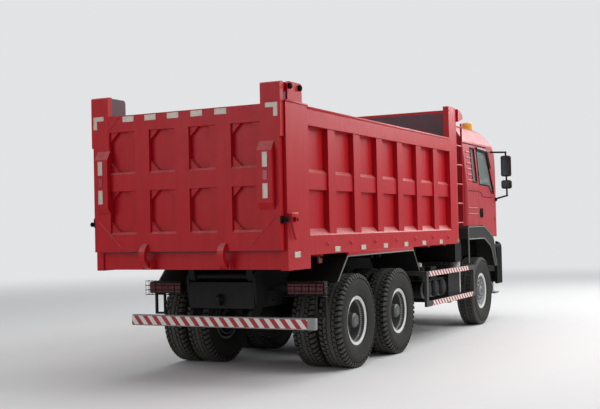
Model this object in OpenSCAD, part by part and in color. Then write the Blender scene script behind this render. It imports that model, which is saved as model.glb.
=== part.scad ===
// Three-axle tipping lorry: steel tipping body with a top-hung tailgate, tilting cab and twin rear wheels.
// Frame of the model: +X forward, +Y to the left, +Z up, millimetres, origin on the ground under the middle.

/* [Overall] */
// Length from the front bumper to the backs of the tailgate claws
overall_l = 8700; // [8660:10:8800]
// Distance from the rear axle to the backs of the tailgate claws
rear_overhang = 1980; // [1960:10:2020]
// Distance between the two rear axles
bogie_l = 1375; // [1340:5:1420]
// Distance from the front axle to the first rear axle
wheelbase = 3965; // [3940:5:4000]

/* [Wheels] */
// Radius of a tyre over its tread
tyre_r = 562; // [545:1:570]
// Width of one tyre
tyre_w = 300; // [280:5:310]
// Clear gap between two twin tyres
twin_gap = 45; // [35:1:60]
// Half the width over the rear tyres
rear_half_w = 1228; // [1210:1:1240]
// Half the width over the front tyres
front_half_w = 1178; // [1160:1:1190]
// Radius of the rim under the tyre bead
rim_r = 262; // [255:1:266]
// Width of a rim
rim_w = 216; // [200:2:230]
// Height of the rim flange above the bead seat
rim_flange = 22; // [16:1:28]
// Wheel nuts on one wheel
nut_count = 10; // [8:1:10]

/* [Frame] */
// Width over the two frame rails
frame_w = 860; // [840:10:880]
// Height of the underside of the frame rails
frame_z = 780; // [770:5:790]
// Depth of a frame rail
frame_h = 300; // [290:5:310]
// Width of a rail flange
flange_w = 80; // [70:5:90]
// Thickness of a rail web or flange
rail_t = 10; // [8:1:14]

/* [Tipping body] */
// Length of the tipping body without its tailgate
bed_l = 5840; // [5800:10:5860]
// Width over the side walls
bed_w = 2476; // [2460:2:2490]
// Depth of a wall over its ribs
wall_t = 90; // [80:2:100]
// Thickness of the sheet between the ribs
skin_t = 12; // [8:1:16]
// Underside of the side walls
wall_z = 1390; // [1380:2:1400]
// Top of the side walls
wall_top = 3000; // [2900:5:3010]
// Top of the two front corner posts
front_post_top = 3490; // [3450:5:3520]
// Top of the two rear corner posts
rear_post_top = 3023; // [3015:1:3030]
// Length of a rear corner post along the body
rear_post_l = 520; // [480:5:540]
// Length of a front corner post along the body
front_post_l = 465; // [420:5:480]
// Number of panels along a side wall
side_panels = 7; // [5:1:8]
// Width of a rib between two panels
rib_w = 190; // [160:5:200]
// Angle to which the body tips
tip_deg = 50; // [40:1:52]

/* [Cab] */
// Length of the cab from its back wall to the front panel
cab_l = 2185; // [2170:5:2200]
// Width over the cab sides
cab_w = 2430; // [2410:5:2440]
// Top of the cab roof
cab_top = 3300; // [3270:5:3310]
// Underside of the cab behind the front wheel arch
cab_z = 1655; // [1650:1:1670]
// Thickness of the cab walls and doors
cab_t = 56; // [45:1:60]
// Gap round the doors
door_gap = 6; // [5:1:10]

/* [Hidden] */
$fn = 64;

// Paints
body_red = "#b3303a";
chassis_black = "#26282a";
rubber_black = "#1c1c1d";
rim_grey = "#8d908f";
bright_metal = "#c9ccce";
trim_black = "#202224";
glass_tint = "#5d6b6c";
hydraulic_grey = "#7b7f82";

// Clearances: a fit that turns, a seat that rests, and a cut that runs past a face
run_gap = 0.3;
seat_gap = 0.3;
past = 1;

// Stations along the lorry
x_front = overall_l / 2;
x_rear = -overall_l / 2;
x_axle3 = x_rear + rear_overhang;
x_axle2 = x_axle3 + bogie_l;
x_axle1 = x_axle2 + wheelbase;
axle_z = tyre_r;

// Frame rails
rail_out = frame_w / 2;
frame_top = frame_z + frame_h;
frame_x0 = x_axle3 - 1120;
frame_x1 = x_axle1 + 1060;

// Tipping body: the tailgate hangs behind the rear posts
claw_r = 150;
gate_gap = 6;
gate_t = 74;
bed_x0 = x_rear + claw_r + 10;
bed_x1 = bed_x0 + bed_l;
wall_out = bed_w / 2;
wall_in = wall_out - wall_t;
sill_z = 1246;
floor_top = 1456;
floor_t = 56;
beam_seat = frame_top + seat_gap;
tip_x = frame_x0 + 30;
tip_z = frame_top + 70;
tip_pin_r = 35;

// Tailgate, hung from pins above the rear posts
gate_x1 = bed_x0 - gate_gap;
gate_x0 = gate_x1 - gate_t;
gate_half_w = 1200;
gate_z0 = 1458;
gate_z1 = 2990;
hang_x = bed_x0 + 110;
hang_z = rear_post_top + 157;
hang_pin_r = 22;

// Telescopic hoist: its foot and its head stand equally far from the tipping pin
foot_x = bed_x1 + 340;
foot_z = frame_z + 170;
head_x = bed_x1 + 120;
hoist_reach = norm([foot_x - tip_x, foot_z - tip_z]);
head_z = tip_z + sqrt(hoist_reach * hoist_reach - (head_x - tip_x) * (head_x - tip_x));
hoist_l = norm([head_x - foot_x, head_z - foot_z]);
hoist_lean = atan((head_x - foot_x) / (head_z - foot_z));
stage_radii = [105, 90, 76, 62, 48];
stage_lip = 25;

// Cab
cab_x0 = x_front - 90 - cab_l;
cab_x1 = cab_x0 + cab_l;
cab_half = cab_w / 2;
roof_seam = cab_top - 310;
foot_well_z = cab_z - 195;
tilt_x = cab_x1 - 130;
tilt_z = frame_top + 160;
tilt_pin_r = 25;
door_x0 = cab_x0 + 650;
door_x1 = cab_x0 + 1600;
hinge_y = cab_half - 2;
hinge_r = 14;

// Front steering
kingpin_y = front_half_w - tyre_w - 38;
kingpin_r = 25;
spindle_r = 45;
tie_x = x_axle1 - 230;
tie_z = axle_z - 100;
tie_y = kingpin_y;
tie_pin_r = 14;
// The tie rod's right-hand ball has play
ball_gap = 2;

// Box between two corners
module box(x0, x1, y0, y1, z0, z1) translate([x0, y0, z0]) cube([x1 - x0, y1 - y0, z1 - z0]);

// The children, and the same mirrored to the right-hand side
module both_sides() {
  children();
  mirror([0, 1, 0]) children();
}

// A side view profile in X and Z, drawn out between two Y planes
module along_y(y0, y1) translate([0, y1, 0]) rotate([90, 0, 0]) linear_extrude(y1 - y0) children();

// A front view profile in Y and Z, drawn out between two X planes
module along_x(x0, x1) translate([x0, 0, 0]) rotate([90, 0, 90]) linear_extrude(x1 - x0) children();

// A plan profile in X and Y, drawn out between two heights
module along_z(z0, z1) translate([0, 0, z0]) linear_extrude(z1 - z0) children();

// A round bar along Y
module bar_y(x, z, r, y0, y1) translate([x, y0, z]) rotate([-90, 0, 0]) cylinder(r = r, h = y1 - y0);

// A round bar between any two points
module bar(a, b, r) {
  d = b - a;
  translate(a) rotate([0, acos(d[2] / norm(d)), atan2(d[1], d[0])]) cylinder(r = r, h = norm(d));
}

// A convex outline with round corners: each row is [x, y, corner radius]
function unit(v) = v / norm(v);
function corner(a, p, b, r) =
  let (u = unit(a - p), v = unit(b - p), half = acos(max(-1, min(1, u * v))) / 2)
  [p + u * r / tan(half), p + unit(u + v) * r / sin(half), p + v * r / tan(half)];
module rounded(rows) {
  n = len(rows);
  points = [for (r = rows) [r[0], r[1]]];
  corners = [for (i = [0:n - 1])
    rows[i][2] > 0
      ? corner(points[(i + n - 1) % n], points[i], points[(i + 1) % n], rows[i][2])
      : [points[i]]];
  polygon([for (c = corners) for (p = len(c) == 3 ? [c[0], c[2]] : c) p]);
  for (i = [0:n - 1]) if (rows[i][2] > 0) translate(corners[i][1]) circle(r = rows[i][2]);
}
module round_rect(x0, x1, y0, y1, r) rounded([[x0, y0, r], [x1, y0, r], [x1, y1, r], [x0, y1, r]]);

// Turned about a wheel axis: the profile is drawn as [radius, distance outwards]
module turned(x, z, y = 0) translate([x, y, z]) rotate([-90, 0, 0]) rotate_extrude() children();

// Ladder frame of two channel rails with cross members, cab posts, hoist foot and tipping brackets
module frame() {
  cross_x = [frame_x0 + 60, x_axle3 + 300, (x_axle3 + x_axle2) / 2, x_axle2 + 480, x_axle2 + 1500, frame_x1 - 60];
  cross_h = 220;
  cross_w = 90;
  color(chassis_black) {
    difference() {
      union() {
        both_sides() difference() {
          box(frame_x0, frame_x1, rail_out - flange_w, rail_out, frame_z, frame_top);
          box(frame_x0 - past, frame_x1 + past, rail_out - flange_w - past, rail_out - rail_t,
            frame_z + rail_t, frame_top - rail_t);
        }
        for (x = cross_x)
          box(x - cross_w / 2, x + cross_w / 2, -rail_out + rail_t / 2, rail_out - rail_t / 2,
            frame_z + (frame_h - cross_h) / 2, frame_z + (frame_h + cross_h) / 2);
        // End plate with a towing eye
        box(frame_x0 - 20, frame_x0, -rail_out, rail_out, frame_z, frame_top);
        along_y(-20, 20) rounded([[frame_x0 - 10, frame_z + 30, 0], [frame_x0 - 10, frame_z + 170, 0],
          [frame_x0 - 110, frame_z + 150, 45], [frame_x0 - 110, frame_z + 50, 45]]);
        // Brackets that carry the tipping pin
        both_sides() along_y(rail_out - past, rail_out + 30) union() {
          translate([tip_x, tip_z]) circle(r = 70);
          polygon([[tip_x - 70, tip_z], [tip_x + 70, tip_z], [tip_x + 160, frame_z + 40],
            [frame_x0, frame_z + 40]]);
        }
        // Brackets and pins on which the cab tilts
        both_sides() {
          along_y(rail_out + 8, rail_out + 38) union() {
            translate([tilt_x, tilt_z]) circle(r = 45);
            polygon([[tilt_x - 45, tilt_z], [tilt_x + 45, tilt_z], [frame_x1, frame_z + 60],
              [frame_x1 - 260, frame_z + 60]]);
          }
          box(frame_x1 - 260, frame_x1, rail_out - past, rail_out + 8 + past, frame_z + 60, frame_top - 40);
          bar_y(tilt_x, tilt_z, tilt_pin_r, rail_out - 40, rail_out + 38);
        }
        // Foot of the hoist
        box(foot_x - 60, foot_x + 60, -rail_out + rail_t / 2, rail_out - rail_t / 2,
          foot_z - 205, foot_z - 125);
        both_sides() along_y(145, 175) union() {
          translate([foot_x, foot_z]) circle(r = 62);
          translate([foot_x - 62, foot_z - 126]) square([124, 126]);
        }
      }
      bar_y(tip_x, tip_z, tip_pin_r + run_gap, -rail_out - 40, rail_out + 40);
      bar_y(foot_x, foot_z, 40 + run_gap, -200, 200);
      bar_y(frame_x0 - 62, frame_z + 100, 26, -40, 40);
    }
  }
}

// Posts behind the engine on the frame rails, with a beam that the cab rests on
module cab_posts() {
  post_x = cab_x0 + 30;
  post_w = 80;
  beam_h = 80;
  top = cab_z - seat_gap;
  color(chassis_black) {
    both_sides() box(post_x, post_x + post_w, rail_out - post_w, rail_out, frame_top + seat_gap, top);
    box(post_x, post_x + post_w, -rail_out, rail_out, top - beam_h, top);
  }
}

// Dropped front beam with a boss at each end for the kingpin
module front_axle() {
  beam_z = axle_z - 150;
  color(chassis_black) difference() {
    union() {
      along_x(x_axle1 - 45, x_axle1 + 45) polygon([
        [-kingpin_y + 30, axle_z + 50], [-kingpin_y + 30, axle_z - 60], [-kingpin_y + 105, axle_z - 60],
        [-600, beam_z - 60], [600, beam_z - 60], [kingpin_y - 105, axle_z - 60], [kingpin_y - 30, axle_z - 60],
        [kingpin_y - 30, axle_z + 50], [560, beam_z + 60], [-560, beam_z + 60]]);
      both_sides() translate([x_axle1, kingpin_y, axle_z - 60]) cylinder(r = 52, h = 110);
      both_sides() box(x_axle1 - 90, x_axle1 + 90, rail_out - flange_w, rail_out, beam_z + 59, beam_z + 90);
    }
    both_sides() translate([x_axle1, kingpin_y, axle_z - 100]) cylinder(r = kingpin_r + run_gap, h = 200);
  }
}

// Two driven axles: banjo housing, tubes and the spindles that carry the twin wheels
module rear_axles() {
  inner_face = rear_half_w - 2 * tyre_w - twin_gap;
  spindle_end = rear_half_w - 170;
  color(chassis_black) for (x = [x_axle3, x_axle2]) {
    turned(x, axle_z, -spindle_end) polygon([[0, 0], [60, 0], [60, spindle_end - inner_face + 30],
      [88, spindle_end - inner_face + 30], [88, spindle_end + inner_face - 30], [60, spindle_end + inner_face - 30],
      [60, 2 * spindle_end], [0, 2 * spindle_end]]);
    translate([x, 0, axle_z]) sphere(r = 235);
    translate([x, 0, axle_z]) rotate([0, 90, 0]) cylinder(r = 120, h = 320);
    both_sides() box(x - 70, x + 70, rail_out - flange_w, rail_out + 20, axle_z + 60, axle_z + 105);
  }
}

// A pack of leaves seen from the side: half lengths from the longest leaf to the shortest
module leaf_pack(x, z, halves, leaf, dir, y0, y1) {
  along_y(y0, y1) for (i = [0:len(halves) - 1])
    translate([x - halves[i], dir > 0 ? z + i * leaf : z - (i + 1) * leaf]) square([2 * halves[i], leaf]);
}
module leaf_springs() {
  front_halves = [760, 640, 520, 400, 280, 160];
  bogie_halves = [700, 600, 500, 400, 300, 200];
  leaf = 16;
  seat = axle_z - 60 + seat_gap;
  front_top = seat + leaf * len(front_halves);
  bogie_z = axle_z + 105 + seat_gap;
  bogie_top = bogie_z + leaf * len(bogie_halves);
  bogie_x = (x_axle3 + x_axle2) / 2;
  y0 = rail_out - flange_w;
  color(chassis_black) both_sides() {
    // Front: the shortest leaf lies on the axle, and shackles hang the longest from the rail
    leaf_pack(x_axle1, front_top, front_halves, leaf, -1, y0, rail_out);
    for (end = [-1, 1])
      box(x_axle1 + end * 740 - 30, x_axle1 + end * 740 + 30, y0, rail_out,
        front_top - past, frame_z - seat_gap);
    // Bogie: the longest leaf bridges both axles, and a saddle under the rail holds its middle
    leaf_pack(bogie_x, bogie_z, bogie_halves, leaf, 1, y0, rail_out);
    box(bogie_x - 150, bogie_x + 150, y0, rail_out, bogie_top - past, frame_z - seat_gap);
  }
}

// Engine as one plain block at its real place, with the gearbox behind it
module engine() {
  color(hydraulic_grey) {
    box(x_axle1 - 700, x_axle1 + 80, -310, 310, axle_z + 150, cab_z - 60);
    along_x(x_axle1 - 1560, x_axle1 - 699) rounded([[-220, axle_z - 80, 60], [220, axle_z - 80, 60],
      [220, frame_z - 60, 60], [-220, frame_z - 60, 60]]);
    // Feet on the frame rails
    both_sides() box(x_axle1 - 480, x_axle1 - 400, 309, rail_out - rail_t - seat_gap, frame_z + 40, frame_z + 160);
  }
}

// Propeller shafts from the gearbox to the first rear axle and on to the second
module propshafts() {
  yoke = 320 + seat_gap;
  gearbox_x = x_axle1 - 1560 - seat_gap;
  flange_r = 75;
  flange_l = 25;
  color(chassis_black) {
    bar([x_axle2 + yoke + 5, 0, axle_z], [gearbox_x - 5, 0, axle_z + 40], 55);
    translate([x_axle2 + yoke, 0, axle_z]) rotate([0, 90, 0]) cylinder(r = flange_r, h = flange_l);
    translate([gearbox_x - flange_l, 0, axle_z + 40]) rotate([0, 90, 0]) cylinder(r = flange_r, h = flange_l);
    bar([x_axle3 + yoke, 0, axle_z], [x_axle2 - 235 - seat_gap, 0, axle_z], 55);
  }
}

// Rounded fuel tank on two brackets, on the left
module fuel_tank() {
  x0 = x_axle2 + 1290;
  x1 = x0 + 1250;
  y0 = rail_out + 50;
  y1 = rail_out + 730;
  z0 = frame_z - 270;
  z1 = frame_top - 40;
  color(bright_metal) along_x(x0, x1)
    rounded([[y0, z0, 80], [y1, z0, 110], [y1, z1, 110], [y0, z1, 80]]);
  color(chassis_black) for (x = [x0 + 250, x1 - 330]) {
    box(x, x + 80, rail_out, y0 + 2, z0 + 100, z1 - 90);
    box(x, x + 80, rail_out, y1 - 110, z0 - 30, z0 + 2);
    box(x, x + 80, rail_out, y0 + 2, z0 - 30, z0 + 101);
  }
}

// Three air tanks across the right-hand side under a carrier plate
tank_r = 125;
tank_x = x_axle2 + 1460;
tank_step = 333;
tank_z = frame_z - 40;
tank_y0 = rail_out + 130;
tank_y1 = wall_out - 118;
module air_tanks() {
  plate_z = tank_z + tank_r;
  tank_l = tank_y1 - tank_y0;
  dome = 55;
  color(chassis_black) mirror([0, 1, 0]) {
    for (i = [0:2]) turned(tank_x + i * tank_step, tank_z, tank_y0) rounded([[0, 0, 0], [tank_r, 0, dome],
      [tank_r, tank_l, dome], [0, tank_l, 0]]);
    box(tank_x - 170, tank_x + 2 * tank_step + 170, rail_out, tank_y1 - 40, plate_z - 3, plate_z + 20);
    box(tank_x - 170, tank_x + 2 * tank_step + 170, rail_out, rail_out + 20, plate_z + 19, frame_top - 60);
    // Air dryer and valve block on the plate
    translate([tank_x - 20, tank_y1 - 150, plate_z + 19]) cylinder(r = 75, h = 190);
    translate([tank_x - 20, tank_y1 - 150, plate_z + 208]) cylinder(r = 40, h = 45);
    box(tank_x + 230, tank_x + 480, tank_y1 - 300, tank_y1 - 60, plate_z + 19, plate_z + 200);
  }
}

// Battery box and a pale fluid tank on one carrier, ahead of the air tanks
module battery_box() {
  x0 = tank_x + 2 * tank_step + 190;
  z0 = frame_z - 240;
  color(chassis_black) mirror([0, 1, 0]) {
    along_x(x0, x0 + 560) round_rect(rail_out + 130, tank_y1, z0, frame_top - 90, 40);
    box(x0 + 60, x0 + 500, rail_out, rail_out + 131, frame_z + 30, frame_top - 110);
    box(x0 + 559, x0 + 620, rail_out + 330, tank_y1 - 60, z0 + 60, z0 + 140);
  }
  color(bright_metal) mirror([0, 1, 0]) translate([x0 + 700, tank_y1 - 130, z0 + 50]) cylinder(r = 95, h = 520);
  // Oil tank of the hoist, across the gap behind the cab
  color(chassis_black) mirror([0, 1, 0]) {
    along_y(rail_out + 40, tank_y1) round_rect(bed_x1 + 50, bed_x1 + 350, frame_top + 10, frame_top + 330, 50);
    box(bed_x1 + 90, bed_x1 + 300, rail_out, rail_out + 41, frame_top - 120, frame_top + 120);
  }
}

// Side guards: posts, arms from the frame and two rails
guard_x0 = x_axle2 + 1025;
guard_x1 = x_axle1 - 620;
guard_z0 = frame_z - 255;
guard_z1 = frame_top - 55;
guard_bar_h = 75;
guard_y = wall_out - 5;
module side_guards() {
  post_w = 80;
  arm_h = 60;
  color(chassis_black) both_sides() {
    for (x = [guard_x0, guard_x1 - post_w]) {
      box(x, x + post_w, guard_y - 40, guard_y, guard_z0, guard_z1);
      box(x, x + post_w, rail_out, guard_y - 39, guard_z1 - arm_h, guard_z1);
    }
    for (z = [guard_z0, guard_z1 - guard_bar_h])
      box(guard_x0 + post_w - past, guard_x1 - post_w + past, guard_y - 35, guard_y, z, z + guard_bar_h);
  }
}

// Rear underrun bar on two drop brackets
bar_z0 = 567;
bar_h = 123;
bar_half_w = 1221;
module underrun_bar() {
  bar_x = frame_x0 - 18;
  bracket_y = rail_out - 60;
  color(chassis_black) {
    difference() {
      box(bar_x - 60, bar_x, -bar_half_w, bar_half_w, bar_z0, bar_z0 + bar_h);
      box(bar_x - 50, bar_x + past, -bar_half_w - past, bar_half_w + past, bar_z0 + 8, bar_z0 + bar_h - 8);
    }
    both_sides() along_y(bracket_y, bracket_y + 40)
      polygon([[bar_x - 51, bar_z0 + 7], [bar_x + 30, bar_z0 + 7], [frame_x0 + 230, frame_z - seat_gap],
        [frame_x0 + 20, frame_z - seat_gap], [bar_x - 20, bar_z0 + bar_h + 60], [bar_x - 51, bar_z0 + bar_h - 7]]);
  }
}

// Rear lamp boxes on brackets from the frame
lamp_x = x_axle3 - 870;
lamp_y0 = 720;
lamp_y1 = 1190;
lamp_z0 = 925;
lamp_h = 140;
lamp_d = 80;
module tail_lamps() {
  both_sides() {
    color("#7c1218") along_x(lamp_x, lamp_x + lamp_d) round_rect(lamp_y0, lamp_y1, lamp_z0, lamp_z0 + lamp_h, 20);
    color(chassis_black) {
      box(lamp_x + lamp_d - past, lamp_x + lamp_d + 30, rail_out, lamp_y1 - 90, lamp_z0 + 40, lamp_z0 + 100);
      // Open hanger for the flap under the lamp
      difference() {
        box(lamp_x + lamp_d - past, lamp_x + lamp_d + 25, lamp_y1 - 170, lamp_y1 - 20, lamp_z0 - 260, lamp_z0 + 41);
        box(lamp_x, lamp_x + lamp_d + 50, lamp_y1 - 145, lamp_y1 - 50, lamp_z0 - 235, lamp_z0 - 25);
      }
    }
  }
}

// Folded plate over the twin rear wheels, on two arms from each rail
guard_plate_t = 12;
module rear_mudguards() {
  top = wall_z - 45;
  drop = 290;
  in_y = rear_half_w - 2 * tyre_w - twin_gap - 20;
  t = guard_plate_t;
  back = x_axle3 - 316;
  front = x_axle2 + 510;
  color(chassis_black) both_sides() {
    along_y(in_y, wall_out - 2) polygon([
      [back - 295, top - drop], [back, top], [front, top], [front + 217, top - drop],
      [front + 217 - t, top - drop], [front - t, top - t], [back + t, top - t], [back - 295 + t, top - drop]]);
    for (x = [x_axle3 + 560, x_axle2 - 560]) {
      box(x - 30, x + 30, rail_out, rail_out + 12, frame_z + 60, top - t - 40);
      box(x - 30, x + 30, rail_out, wall_out - 60, top - t - 41, top - t + 2);
    }
  }
}

// Front wheel arches: an upper plate and a deep outer lip
module front_fenders() {
  top = cab_z - 12;
  lip = 200;
  drop = cab_z - foot_well_z;
  x0 = cab_x0 - 35;
  xe = x_axle1 + 670;
  t = 24;
  out = wall_out - 2;
  color(trim_black) both_sides() difference() {
    along_y(kingpin_y + 60, out) difference() {
      rounded([[x0, top - 690, 0], [x0, top, 40], [arch_x0, top, 150], [arch_x1, top - drop, 250],
        [xe, top - 690, 0]]);
      // Opening over the wheel
      rounded([[x0 - past, top - 691, 0], [x0 - past, top - lip, 0], [arch_x0, top - lip, 300],
        [arch_x1 - 140, top - lip - 150, 250], [xe - 80, top - 691, 0]]);
    }
    along_y(kingpin_y + 59, out - t) rounded([[x0 + t, top - 691, 0], [x0 + t, top - t, 20],
      [arch_x0 - 5, top - t, 150], [arch_x1 - 18, top - drop - 18, 230], [xe - t, top - 691, 0]]);
  }
  // Stays from the frame
  color(chassis_black) both_sides() {
    box(x0 + 60, x0 + 110, rail_out, kingpin_y + 61, top - 60, top - 21);
    box(x0 + 60, x0 + 110, rail_out, rail_out + 20, frame_top - 80, top - 22);
    box(x0 + 60, x0 + 110, kingpin_y + 50, out - 60, top - 45, top - 19);
  }
}

// Bumper with high corners, lamp recesses and steps behind the corners
bumper_z0 = 640;
bumper_z1 = 1195;
head_y0 = 720;
head_y1 = 1060;
head_z0 = 830;
head_h = 190;
corner_r = 140;
module bumper_plan(inset) rounded([
  [x_axle1 + 680, -wall_out + inset, 0], [x_front - 330 - inset, -wall_out + inset, 150],
  [x_front - inset, -860, 300], [x_front - inset, 860, 300],
  [x_front - 330 - inset, wall_out - inset, 150], [x_axle1 + 680, wall_out - inset, 0]]);
module front_bumper() {
  corner_z = cab_z - 285;
  step_x = x_axle1 + 690;
  color(trim_black) difference() {
    union() {
      along_z(bumper_z0, bumper_z1) bumper_plan(0);
      intersection() {
        along_z(bumper_z1 - past, corner_z) bumper_plan(0);
        both_sides() box(x_axle1 + 680, tilt_x - 60, 920, wall_out + past, bumper_z0, corner_z + past);
        along_x(x_axle1 + 679, x_front) rounded([[-wall_out, bumper_z0, 0], [wall_out, bumper_z0, 0],
          [wall_out, corner_z, corner_r], [-wall_out, corner_z, corner_r]]);
      }
    }
    along_z(bumper_z0 - past, corner_z + past) intersection() {
      bumper_plan(45);
      translate([x_axle1, -wall_out]) square([x_front, bed_w]);
    }
    // Rear face stays open between the two corners
    box(x_axle1 + 600, x_axle1 + 900, -wall_out + 44, wall_out - 44, bumper_z0 - past, corner_z + past);
    both_sides() box(x_front - 400, x_front + past, head_y0, head_y1, head_z0, head_z0 + head_h);
    // Air intake
    box(x_front - 100, x_front + past, -560, 560, bumper_z0 + 120, bumper_z0 + 330);
  }
  color(trim_black) both_sides() {
    // Carriers from the frame front to the bumper
    box(frame_x1 + seat_gap, x_front - 44, rail_out - flange_w, rail_out - 10, frame_z + 60, frame_z + 200);
    // Boarding steps and the hanging lower step
    for (z = [bumper_z0 + 40, bumper_z0 + 370]) box(step_x, step_x + 300, 930, wall_out - 44, z, z + 40);
    for (x = [step_x + 30, step_x + 240]) box(x, x + 25, 1060, 1085, bumper_z0 - 150, bumper_z0 + 41);
    box(step_x + 30, step_x + 265, 1040, 1180, bumper_z0 - 175, bumper_z0 - 149);
    box(step_x, step_x + 300, 918, 931, bumper_z0 + 40, bumper_z0 + 410);
    box(step_x + 15, step_x + 75, rail_out, 919, bumper_z0 + 300, bumper_z0 + 360);
  }
}
module headlamps() {
  g = seat_gap;
  color(bright_metal) both_sides() intersection() {
    along_z(head_z0 + g, head_z0 + head_h - g) difference() {
      bumper_plan(6);
      bumper_plan(44.7);
    }
    box(x_front - 400, x_front, head_y0 + g, head_y1 - g, head_z0, head_z0 + head_h);
  }
}

// Steering knuckle: fork round the beam end, kingpin, spindle and arm to the tie rod
module knuckle() {
  color(chassis_black) {
    for (z = [axle_z - 61 - 45, axle_z + 51]) translate([x_axle1, kingpin_y, z]) cylinder(r = 50, h = 45);
    translate([x_axle1, kingpin_y, axle_z - 106]) cylinder(r = kingpin_r, h = 202);
    box(x_axle1 - 60, x_axle1 + 60, kingpin_y + 54, kingpin_y + 86, axle_z - 106, axle_z + 96);
    for (z = [axle_z - 106, axle_z + 51])
      box(x_axle1 - 45, x_axle1 + 45, kingpin_y, kingpin_y + 55, z, z + 45);
    bar_y(x_axle1, axle_z, spindle_r, kingpin_y + 85, front_half_w - 60);
    // Arm
    box(tie_x, x_axle1 - 20, tie_y - 24, tie_y + 24, tie_z - 6, tie_z + 30);
    translate([tie_x, tie_y, tie_z - 6]) cylinder(r = 38, h = 36);
    translate([tie_x, tie_y, tie_z - 60]) cylinder(r = tie_pin_r, h = 55);
  }
}
module tie_rod() {
  color(chassis_black) difference() {
    union() {
      bar_y(tie_x, tie_z - 38, 20, -tie_y + 20, tie_y - 20);
      both_sides() translate([tie_x, tie_y, tie_z - 66]) cylinder(r = 30, h = 56);
    }
    translate([tie_x, tie_y, tie_z - 70]) cylinder(r = tie_pin_r + run_gap, h = 70);
    translate([tie_x, -tie_y, tie_z - 70]) cylinder(r = tie_pin_r + ball_gap, h = 70);
  }
}

// Tyre section drawn as [radius, distance across], with round shoulders and tread grooves
groove_n = 4;
groove_w = 14;
groove_d = 16;
module tyre(x, y_mid) {
  bead = rim_r + seat_gap;
  half = tyre_w / 2;
  bead_half = rim_w / 2 - 11;
  tread_half = half - 28;
  color(rubber_black) turned(x, axle_z, y_mid) difference() {
    rounded([[bead, -bead_half, 0], [bead + rim_flange + 30, -half + 18, 40], [tyre_r - 170, -half, 120],
      [tyre_r - 40, -half + 8, 30], [tyre_r, -tread_half, 12], [tyre_r, tread_half, 12],
      [tyre_r - 40, half - 8, 30], [tyre_r - 170, half, 120], [bead + rim_flange + 30, half - 18, 40],
      [bead, bead_half, 0]]);
    // Room for the rim flanges
    for (s = [-1, 1]) translate([bead - 2, s > 0 ? bead_half - 1 : -half])
      square([rim_flange + 6, half - bead_half + 1]);
    for (i = [0:groove_n - 1])
      translate([tyre_r - groove_d, (i - (groove_n - 1) / 2) * 2 * tread_half / groove_n - groove_w / 2])
        square([groove_d + past, groove_w]);
  }
}

// Rim, drawn in section: barrel with a flange at each end
rim_t = 16;
module rim_section(mid) {
  half = rim_w / 2;
  translate([rim_r - rim_t, mid - half]) square([rim_t, rim_w]);
  for (s = [-1, 1])
    translate([rim_r - rim_t, mid + s * (half - 5) - 5]) square([rim_t + rim_flange, 10]);
}

// Front wheel: rim, dished-out disc with hand holes, hub and nuts
disc_holes = 10;
module front_wheel() {
  mid = front_half_w - tyre_w / 2;
  face = mid + rim_w / 2 - 45;
  nut_r = 143;
  color(bright_metal) difference() {
    union() {
      turned(x_axle1, axle_z) {
        rim_section(mid);
        polygon([[rim_r - rim_t + 1, face - 60], [rim_r - rim_t + 1, face - 30], [200, face + 14],
          [110, face + 14], [110, face], [200, face - 2]]);
        polygon([[0, face + 60], [60, face + 60], [85, face + 45], [90, face + 13], [112, face + 13],
          [112, face - 140], [0, face - 140]]);
        // Brake drum behind the disc
        polygon([[111, face - 30], [205, face - 60], [205, kingpin_y + 100], [190, kingpin_y + 100],
          [190, face - 75], [111, face - 50]]);
      }
      for (i = [0:nut_count - 1]) rotate_about(x_axle1, axle_z, i * 360 / nut_count)
        bar_y(x_axle1 + nut_r, axle_z, 16, face + 10, face + 40);
    }
    for (i = [0:disc_holes - 1]) rotate_about(x_axle1, axle_z, (i + 0.5) * 360 / disc_holes)
      bar_y(x_axle1 + 208, axle_z, 22, face - 70, face + 40);
    bar_y(x_axle1, axle_z, spindle_r + run_gap, face - 141, front_half_w - 59);
  }
}

// Turn the children about a wheel axis
module rotate_about(x, z, angle) translate([x, 0, z]) rotate([0, angle, 0]) translate([-x, 0, -z]) children();

// Twin rear wheels: two rims, two discs bolted back to back, hub, cap, drum and nuts
module twin_wheels(x) {
  out_mid = rear_half_w - tyre_w / 2;
  in_mid = out_mid - tyre_w - twin_gap;
  join = (out_mid + in_mid) / 2;
  inner_face = in_mid - tyre_w / 2;
  hub_out = rear_half_w - 75;
  nut_r = 168;
  disc_t = 14;
  color(rim_grey) difference() {
    union() {
      turned(x, axle_z) {
        for (mid = [in_mid, out_mid]) rim_section(mid);
        for (s = [-1, 1]) polygon([[140, join], [195, join], [rim_r - rim_t + 1, join + s * 75],
          [rim_r - rim_t + 1, join + s * 110], [190, join + s * disc_t], [140, join + s * disc_t]]);
        // Hub with its flange and cap
        polygon([[0, hub_out + 30], [70, hub_out + 30], [88, hub_out + 12], [88, hub_out - 60], [140, join + 60],
          [150, join + disc_t - 1], [150, join - disc_t + 1], [105, join - disc_t + 1], [105, inner_face + 40],
          [0, inner_face + 40]]);
        // Brake drum inside the inner rim
        polygon([[104, join - 30], [212, join - 60], [212, inner_face + 30], [196, inner_face + 30],
          [196, join - 75], [104, join - 50]]);
      }
      for (i = [0:nut_count - 1]) rotate_about(x, axle_z, i * 360 / nut_count)
        bar_y(x + nut_r, axle_z, 16, join, join + 45);
    }
    for (i = [0:7]) rotate_about(x, axle_z, (i + 0.5) * 45) bar_y(x + 212, axle_z, 24, join - 130, join + 130);
    bar_y(x, axle_z, 60 + run_gap, inner_face + 39, rear_half_w - 169);
  }
}
module twin_tyres(x) for (k = [0, 1]) tyre(x, rear_half_w - tyre_w / 2 - k * (tyre_w + twin_gap));

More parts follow.
